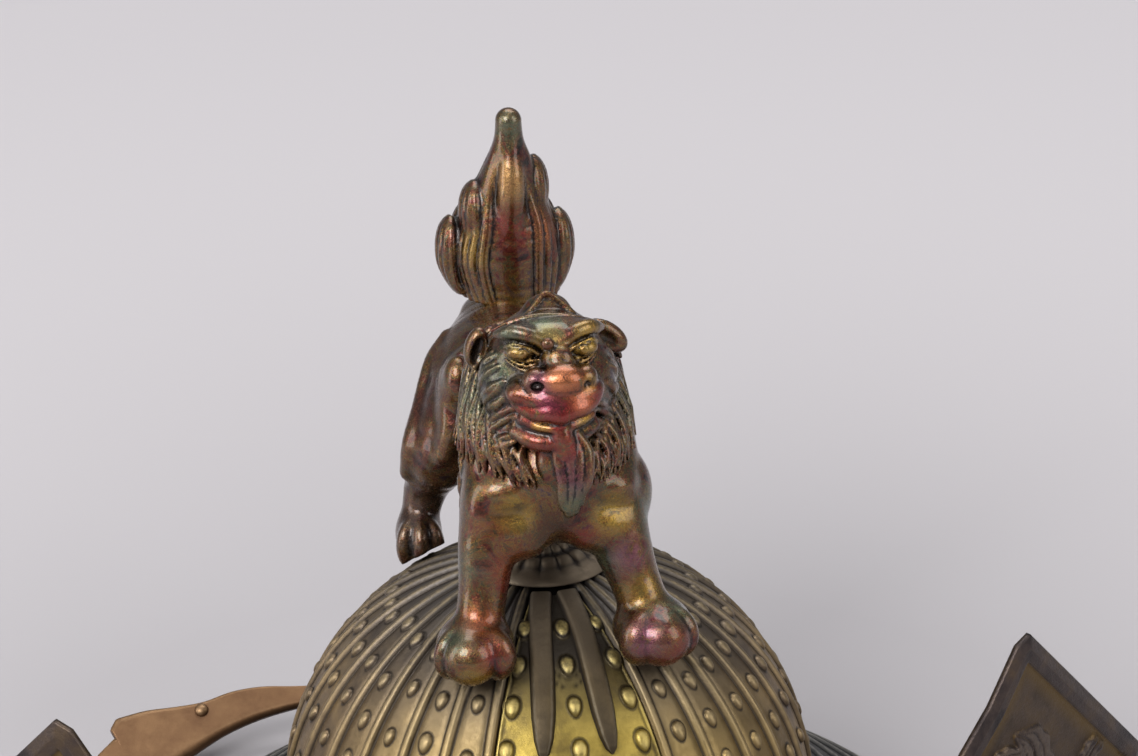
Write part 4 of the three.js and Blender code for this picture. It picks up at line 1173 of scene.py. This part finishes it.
def lame_point(k, along, out):
    """(r, z) on lame k, along its slope from its top edge and out off its face."""
    along, out = LAME_STEP * k + along, out - (LAME_THICKNESS + LAME_GAP) * k
    away, down = cos(LAME_SLOPE), sin(LAME_SLOPE)
    return LAME_RADIUS + along * away + out * down, LAME_TOP - along * down + out * away


def lame(k):
    lip = LAME_WIDTH - 3
    # Across the lame: along its slope, off its face, wear. Its top edge, under the lame above, and the groove before
    # its lip are painted dark as shadow; the lip takes rubbed wear with a painted highlight.
    section = [
        (0.3, -0.3, -0.8), (1.2, 0, -0.6), (lip - 2.2, 0, -0.1), (lip - 0.2, -0.2, -1.0),
        (lip + 0.2, 0.9, 0.2), (lip + 0.8, LAME_LIP, 0.9), (lip + 2.1, LAME_LIP, 0.7),
        (LAME_WIDTH, 0.5, 0.6),
    ]
    profile = [lame_point(k, along, out) for along, out, _ in section]
    wear = [tone for _, _, tone in section]
    under = lame_point(k, LAME_WIDTH, -LAME_THICKNESS)
    if k == len(LAME_ENDS) - 1:
        edge = lame_point(k, LAME_WIDTH, LAME_LIP)[0]
        profile += [
            (edge, under[1] - 0.6), (edge - 0.5, under[1] - 1), (edge - FOOT_WIDTH, under[1] - 1),
        ]
        profile += [lame_point(k, LAME_WIDTH - FOOT_WIDTH, -LAME_THICKNESS)]
        wear += [0.6, 0.2, -0.4, -0.5]
    else:
        profile.append(under)
        wear.append(-0.2)
    profile.append(lame_point(k, 0, -LAME_THICKNESS))
    wear.append(-0.8)
    return around(f"lame_{k + 1}", profile, 180 - LAME_ENDS[k], 180 + LAME_ENDS[k], grey_iron, wear)


# ---- Turned-back wings ----

WING_TURN = radians(34)
WING_DISTANCE, WING_TIP, WING_THICKNESS, WING_RIM = 136.3, 156, 2.6, 11.2
WING_MIDDLE = np.array([-8.0, -4.0])
WING_OUTLINE = [
    (0, 69), (88, -19), (86, -30), (70, -44), (-96, -44), (-104, -38), (-104, -26), (-84, -11),
    (-42.5, 27), (-25, 43.5), (-8, 66),
]
WING_LEAVES = [
    (-46, -24, 160, 28), (-30, -8, 118, 26), (-20, -24, 10, 34), (-26, 6, 16, 34), (22, -11, 132, 46),
    (20, -23, -10, 34), (44, -16, 60, 26),
]


def polygon_inset(points, outline):
    """How far each (h, v) point lies inside the outline, in mm."""
    closed = np.vstack([outline, outline[:1]])
    nearest = np.full(points.shape[:-1], 1e9)
    for a, b in zip(closed, closed[1:]):
        along = b - a
        t = np.clip((points - a) @ along / (along @ along), 0, 1)
        nearest = np.minimum(nearest, np.linalg.norm(points - a - t[..., None] * along, axis=-1))
    return nearest


def leaf_relief(points):
    """Height in mm of the leafy scroll cut on a wing's face, and its wear with painted light: leaf ridges rubbed
    bright with a painted highlight, veins and ground towards the wing's brown.
    """
    height, worn_and_painted_light = np.zeros(points.shape[:-1]), np.full(points.shape[:-1], -0.25)
    for h, v, turn, length in WING_LEAVES:
        angle = radians(turn)
        x = (points[..., 0] - h) * cos(angle) + (points[..., 1] - v) * sin(angle)
        y = -(points[..., 0] - h) * sin(angle) + (points[..., 1] - v) * cos(angle)
        s = np.clip(x / length, 0, 1)
        y = y - 0.12 * length * np.sin(2 * pi * s) * 0.6
        half = 0.27 * length * np.sin(pi * s**0.8) ** 0.8 * (1 + 0.07 * np.cos(8 * pi * s))
        inside = (x > 0) & (x < length)
        rise = np.where(inside, np.clip((half - np.abs(y)) / 1.1, 0, 1), 0)
        ribs = np.exp(-(((np.abs(y) - 0.5 * half) / 0.5) ** 2)) * (half > 3)
        vein = np.exp(-((y / 0.7) ** 2)) + 0.5 * ribs
        lift = rise * (1.6 - 1.0 * np.clip(vein, 0, 1))
        worn_and_painted_light = np.where(lift > height, np.clip(-0.8 + 1.5 * rise - 1.2 * vein, -1, 1), worn_and_painted_light)
        height = np.maximum(height, lift)
    return height, worn_and_painted_light


def wing(name, side):
    corners = np.array(WING_OUTLINE, float)
    edge = []
    for a, b in zip(corners, np.roll(corners, -1, 0)):
        count = max(int(np.linalg.norm(b - a) / 1.4), 3)
        edge.append(a + (b - a) * np.linspace(0, 1, count, endpoint=False)[:, None])
    edge = np.vstack(edge)
    shares = np.concatenate([np.linspace(0, 0.16, 26), np.linspace(0.17, 1, 64)])
    face = WING_MIDDLE + (edge - WING_MIDDLE)[None] * (1 - shares)[:, None, None]
    inset = polygon_inset(face, corners)
    inset[0] = 0
    leaves, leaf_wear_and_highlight = leaf_relief(face)
    rim = np.interp(
        inset, [0, 0.3, 4.4, 5.0, 9.4, 9.9, 10.4, 11.2], [0.0, 0.3, 1.5, 1.6, 1.6, 1.4, 0.0, 0.1],
    )
    # The rim's ridges take rubbed wear with a painted highlight; the line inside the rim and the field by it go to the
    # wing's brown.
    rim_wear_and_highlight = np.interp(
        inset, [0, 0.6, 4.2, 4.9, 5.6, 9.0, 9.8, 10.5, 11.5],
        [0.2, 0.0, 0.0, 0.4, 0.0, 0.0, 0.5, -1.3, -1.0],
    )
    deep = inset - WING_RIM
    out = np.where(deep > 0, leaves * np.clip(deep / 2.5, 0, 1), rim)
    tone = np.where(deep > 0, -1 + (leaf_wear_and_highlight + 1) * np.clip(deep / 7, 0, 1), rim_wear_and_highlight)
    back = np.stack([face[0], WING_MIDDLE + (face[0] - WING_MIDDLE) * 0.99, WING_MIDDLE + 0 * face[0]])
    face = np.concatenate([back[::-1], face])
    out = np.concatenate([
        np.full((2, len(edge)), -WING_THICKNESS), np.full((1, len(edge)), 0.4 - WING_THICKNESS), out,
    ])
    tone = np.concatenate([np.full((3, len(edge)), -0.3), tone])
    along = np.array([cos(WING_TURN), sin(WING_TURN), 0])
    normal = np.array([sin(WING_TURN), -cos(WING_TURN), 0])
    points = (WING_TIP + face[..., :1]) * along + face[..., 1:] * np.array([0, 0, 1])
    points = WING_DISTANCE * normal + points + out[..., None] * normal
    points = points * np.array([side, 1, 1])
    return sheet(name, points, tone, wing_bronze, closed=True, flip=side < 0)


def wing_tab(name, side):
    """The strip that folds back from the wing's root and lies on the top lame."""
    def on_lame(azimuth, *pairs):
        return [(azimuth, *lame_point(0, along, out)) for along, out in pairs]

    low, high = 0.35, 2.35
    rings = [on_lame(a, (5, low), (18.5, low), (18.5, high), (5, high)) for a in (76, 72, 68, 64, 60)]
    for azimuth, r, top, bottom in (
        (53, 134, -11, -24), (48, 140.5, -20, -38), (54, 143.2, -24, -40), (58, 146, -25, -40),
    ):
        rings.append([
            (azimuth, r, top), (azimuth, r, bottom), (azimuth, r + 2.6, bottom), (azimuth, r + 2.6, top),
        ])
    rings = np.array(rings)
    rings = np.stack([smooth_path(rings[:, i], 4) for i in range(4)], 1)
    azimuth, r, z = np.radians(rings[..., 0]), rings[..., 1], rings[..., 2]
    points = turned(r, side * azimuth, z)
    points = np.concatenate([points, points[:, :1]], 1)
    return sheet(name, points, 0.0, wing_bronze, flip=side > 0)


# ---- Rear crest ----

CREST_LEAN = radians(50)
CREST_THICKNESS = 4.5
CREST_ORIGIN = np.array([0, 152, -28])
CREST_UPPER = [
    (-4, 23), (-40, 13), (-80, 8), (-100, 8), (-119, 9.5), (-134, 8.2), (-148, 4.2), (-162, 2.9),
    (-176, 2.2), (-190, -0.6),
]
CREST_TIP = [(-193.2, -6), (-190.5, -9.9), (-199.4, -18.2), (-208, -31)]
CREST_LOWER = [
    (-190, -31), (-172, -31), (-155, -22.5), (-138, -12.9), (-120, -6.3), (-100, -2), (-80, 1),
    (-40, 6.5), (-4, 14),
]


def crest_place(flat, out):
    """From the crest's plane (x, s) and a distance off its face to the helmet."""
    up = np.array([0, sin(CREST_LEAN), cos(CREST_LEAN)])
    face = np.array([0, -cos(CREST_LEAN), sin(CREST_LEAN)])
    across = np.array([1, 0, 0])
    return CREST_ORIGIN + flat[..., :1] * across + flat[..., 1:] * up + out[..., None] * face


def along_chain(chain, count, steps):
    """count points evenly spaced along a chain, smoothed with steps spans between its rows."""
    chain = smooth_path(chain, steps)
    length = np.concatenate([[0], np.cumsum(np.linalg.norm(np.diff(chain, axis=0), axis=1))])
    at = np.linspace(0, length[-1], count)
    return np.stack([np.interp(at, length, chain[:, i]) for i in (0, 1)], -1)


def crest_blade():
    count = 150
    upper = np.vstack([smooth_path(CREST_UPPER, 6), CREST_TIP])
    upper = along_chain(upper, count, 1)
    lower = along_chain(CREST_LOWER[::-1] + [(-208, -31)], count, 6)
    half = CREST_THICKNESS / 2
    # Across the blade: share from the upper edge, share of half the thickness, wear: the upper edge painted bright as
    # lit, the thickness along the lower edge painted dark as shade, the back a little darker.
    section = [
        (0.0, 0.1, 0.1), (0.0, 0.6, 0.5), (0.03, 0.95, 0.6), (0.1, 1, 0.1), (0.3, 1, 0), (0.5, 1, 0),
        (0.7, 1, 0), (0.84, 1, 0.3), (0.92, 0.75, -0.5), (1.0, 0.1, -0.9), (1.0, -0.9, -0.9),
        (0.95, -1, -0.6), (0.5, -1, -0.3), (0.03, -1, -0.3), (0.0, -0.7, 0),
    ]
    share, out, wear = np.array(section + section[:1]).T
    flat = upper[:, None] + (lower - upper)[:, None] * share[None, :, None]
    points = crest_place(flat, np.repeat(out[None] * half, count, 0))
    closed = points.mean(1, keepdims=True) + 0 * points
    points = np.concatenate([closed[:1], points, closed[-1:]])
    return sheet("crest_blade", points, wear, copper)


# Round fittings on the crest: radius, distance off its middle plane, wear: the bead's foot painted dark as a shaded
# ring, its top and the boss's rim bright as painted highlights.
CREST_BOSS = [(0.1, -2.2, 0), (7, -2.2, 0), (7, 1.8, 0.3), (6.4, 2.2, 0.6), (0.1, 2.2, 0)]
CREST_BEAD = [(3.4, 1.9, -1), (3.3, 3.0, 0), (2.5, 4.1, 0.8), (1.2, 4.6, 1), (0.05, 4.7, 1)]


def crest_disc(name, x, s, section):
    turn = np.linspace(0, 2 * pi, 33)
    radius, out, wear = np.array(section, float).T[:, :, None]
    flat = np.stack([x + radius * np.cos(turn), s + radius * np.sin(turn)], -1)
    points = crest_place(flat, out + 0 * turn)
    return sheet(name, points, wear, copper)


METAL = [
    (bowl(), "bowl", "dark_bronze"),
    (plate_rivets(), "bowl", "dark_bronze"),
    (front_plate(), "front_plate", "gilt_bronze"),
    (front_rivets(), "front_plate", "gilt_bronze"),
    (finger("finger_right", -1), "dome_finger_right", "dark_bronze"),
    (finger("finger_left", 1), "dome_finger_left", "dark_bronze"),
    (rosette(), "crown_rosette", "dark_bronze"),
    (base_band(), "base_band", "dark_bronze"),
    (visor(), "visor", "grey_iron"),
    *((lame(k), f"neck_lame_{k + 1}", "grey_iron") for k in range(4)),
    (wing("wing_left", 1), "turned_wing_left", "dark_bronze"),
    (wing_tab("wing_tab_left", 1), "turned_wing_left", "dark_bronze"),
    (wing("wing_right", -1), "turned_wing_right", "dark_bronze"),
    (wing_tab("wing_tab_right", -1), "turned_wing_right", "dark_bronze"),
    (crest_blade(), "rear_crest", "copper"),
    (crest_disc("crest_boss", 0, 18, CREST_BOSS), "rear_crest", "copper"),
    (crest_disc("crest_bead", -149, -0.4, CREST_BEAD), "rear_crest", "copper"),
]
for piece, node, slot in METAL:
    stand_for(piece, node, slot)

# ---- Floor, light and camera ----

FLOOR_HALF = 6.0
CAMERA_FROM = Vector((-128.97, -979.62, 579.80)) * MM  # from the bowl's centre
CAMERA_RIGHT = Vector((0.98845, -0.15036, -0.01917))
CAMERA_UP = Vector((0.07255, 0.35831, 0.93078))


def lay_floor():
    """A wide pale floor, painted darker towards the helmet: a painted shadow round the helmet and painted falloff of
    the light across the paper.
    """
    corners = [(x * FLOOR_HALF, y * FLOOR_HALF, 0) for x, y in ((-1, -1), (1, -1), (1, 1), (-1, 1))]
    mesh = bpy.data.meshes.new("floor")
    mesh.from_pydata(corners, [], [(0, 1, 2, 3)])
    paper = Surface("paper")
    where = paper.node("TexCoord", "Object", {})
    distance = paper.node("VectorMath", "Value", {0: where}, operation="LENGTH")
    # Painted shade: the paper's colour runs from dark near the helmet to pale far out.
    near, far = (0.36, 0.343, 0.355, 1), (0.87, 0.832, 0.852, 1)
    tone = paper.mix(paper.remap(distance, 0.3, 1.8), near, far)
    paper.feed(paper.shader, {"Roughness": 0.9, "Base Color": tone})
    mesh.materials.append(paper.material)
    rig.stage(add_object("floor", mesh))


def hang(light, location, target):
    obj = add_object(light.name, light)
    obj.location = location
    obj.rotation_euler = (Vector(target) - Vector(location)).to_track_quat("-Z", "Y").to_euler()


lay_floor()
crown = tuple(BOWL_CENTRE + Vector((0, 0, 0.15)))
for name, location, size, power in (
    ("key", (-0.85, -1.05, 1.2), (0.8, 0.8), 25),
    ("fill", (1.1, -0.9, 0.9), (0.8, 1.2), 10),
    ("side", (-1.25, -0.15, 0.55), (0.45, 1.0), 6),
    ("top", (0.2, 0.5, 1.6), (1.2, 0.8), 13),
):
    softbox = bpy.data.lights.new(name, "AREA")
    softbox.shape = "RECTANGLE"
    softbox.size, softbox.size_y = size
    softbox.energy = power
    hang(softbox, location, crown)
ceiling = bpy.data.lights.new("ceiling", "SUN")
ceiling.energy, ceiling.angle = 0.75, radians(80)
hang(ceiling, (0, 0, 0), (0.35, 0.3, -1))
scene.world = bpy.data.worlds.new("studio")
scene.world.use_nodes = True
background = scene.world.node_tree.nodes["Background"].inputs
background["Color"].default_value = (0.86, 0.86, 0.9, 1)
background["Strength"].default_value = 0.34

lens = bpy.data.cameras.new("camera")
lens.sensor_width, lens.lens = 36, 82.25
camera = add_object("camera", lens)
axes = Matrix((CAMERA_RIGHT, CAMERA_UP, CAMERA_RIGHT.cross(CAMERA_UP))).transposed()
camera.matrix_world = Matrix.Translation(BOWL_CENTRE + CAMERA_FROM) @ axes.to_4x4()
bpy.context.scene.camera = camera
scene.view_settings.view_transform = "Standard"

with open("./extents.json", "w") as out:
    json.dump({"at_load": bounds_at_load, "at_finish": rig.bounds()}, out, default=lambda v: list(v))
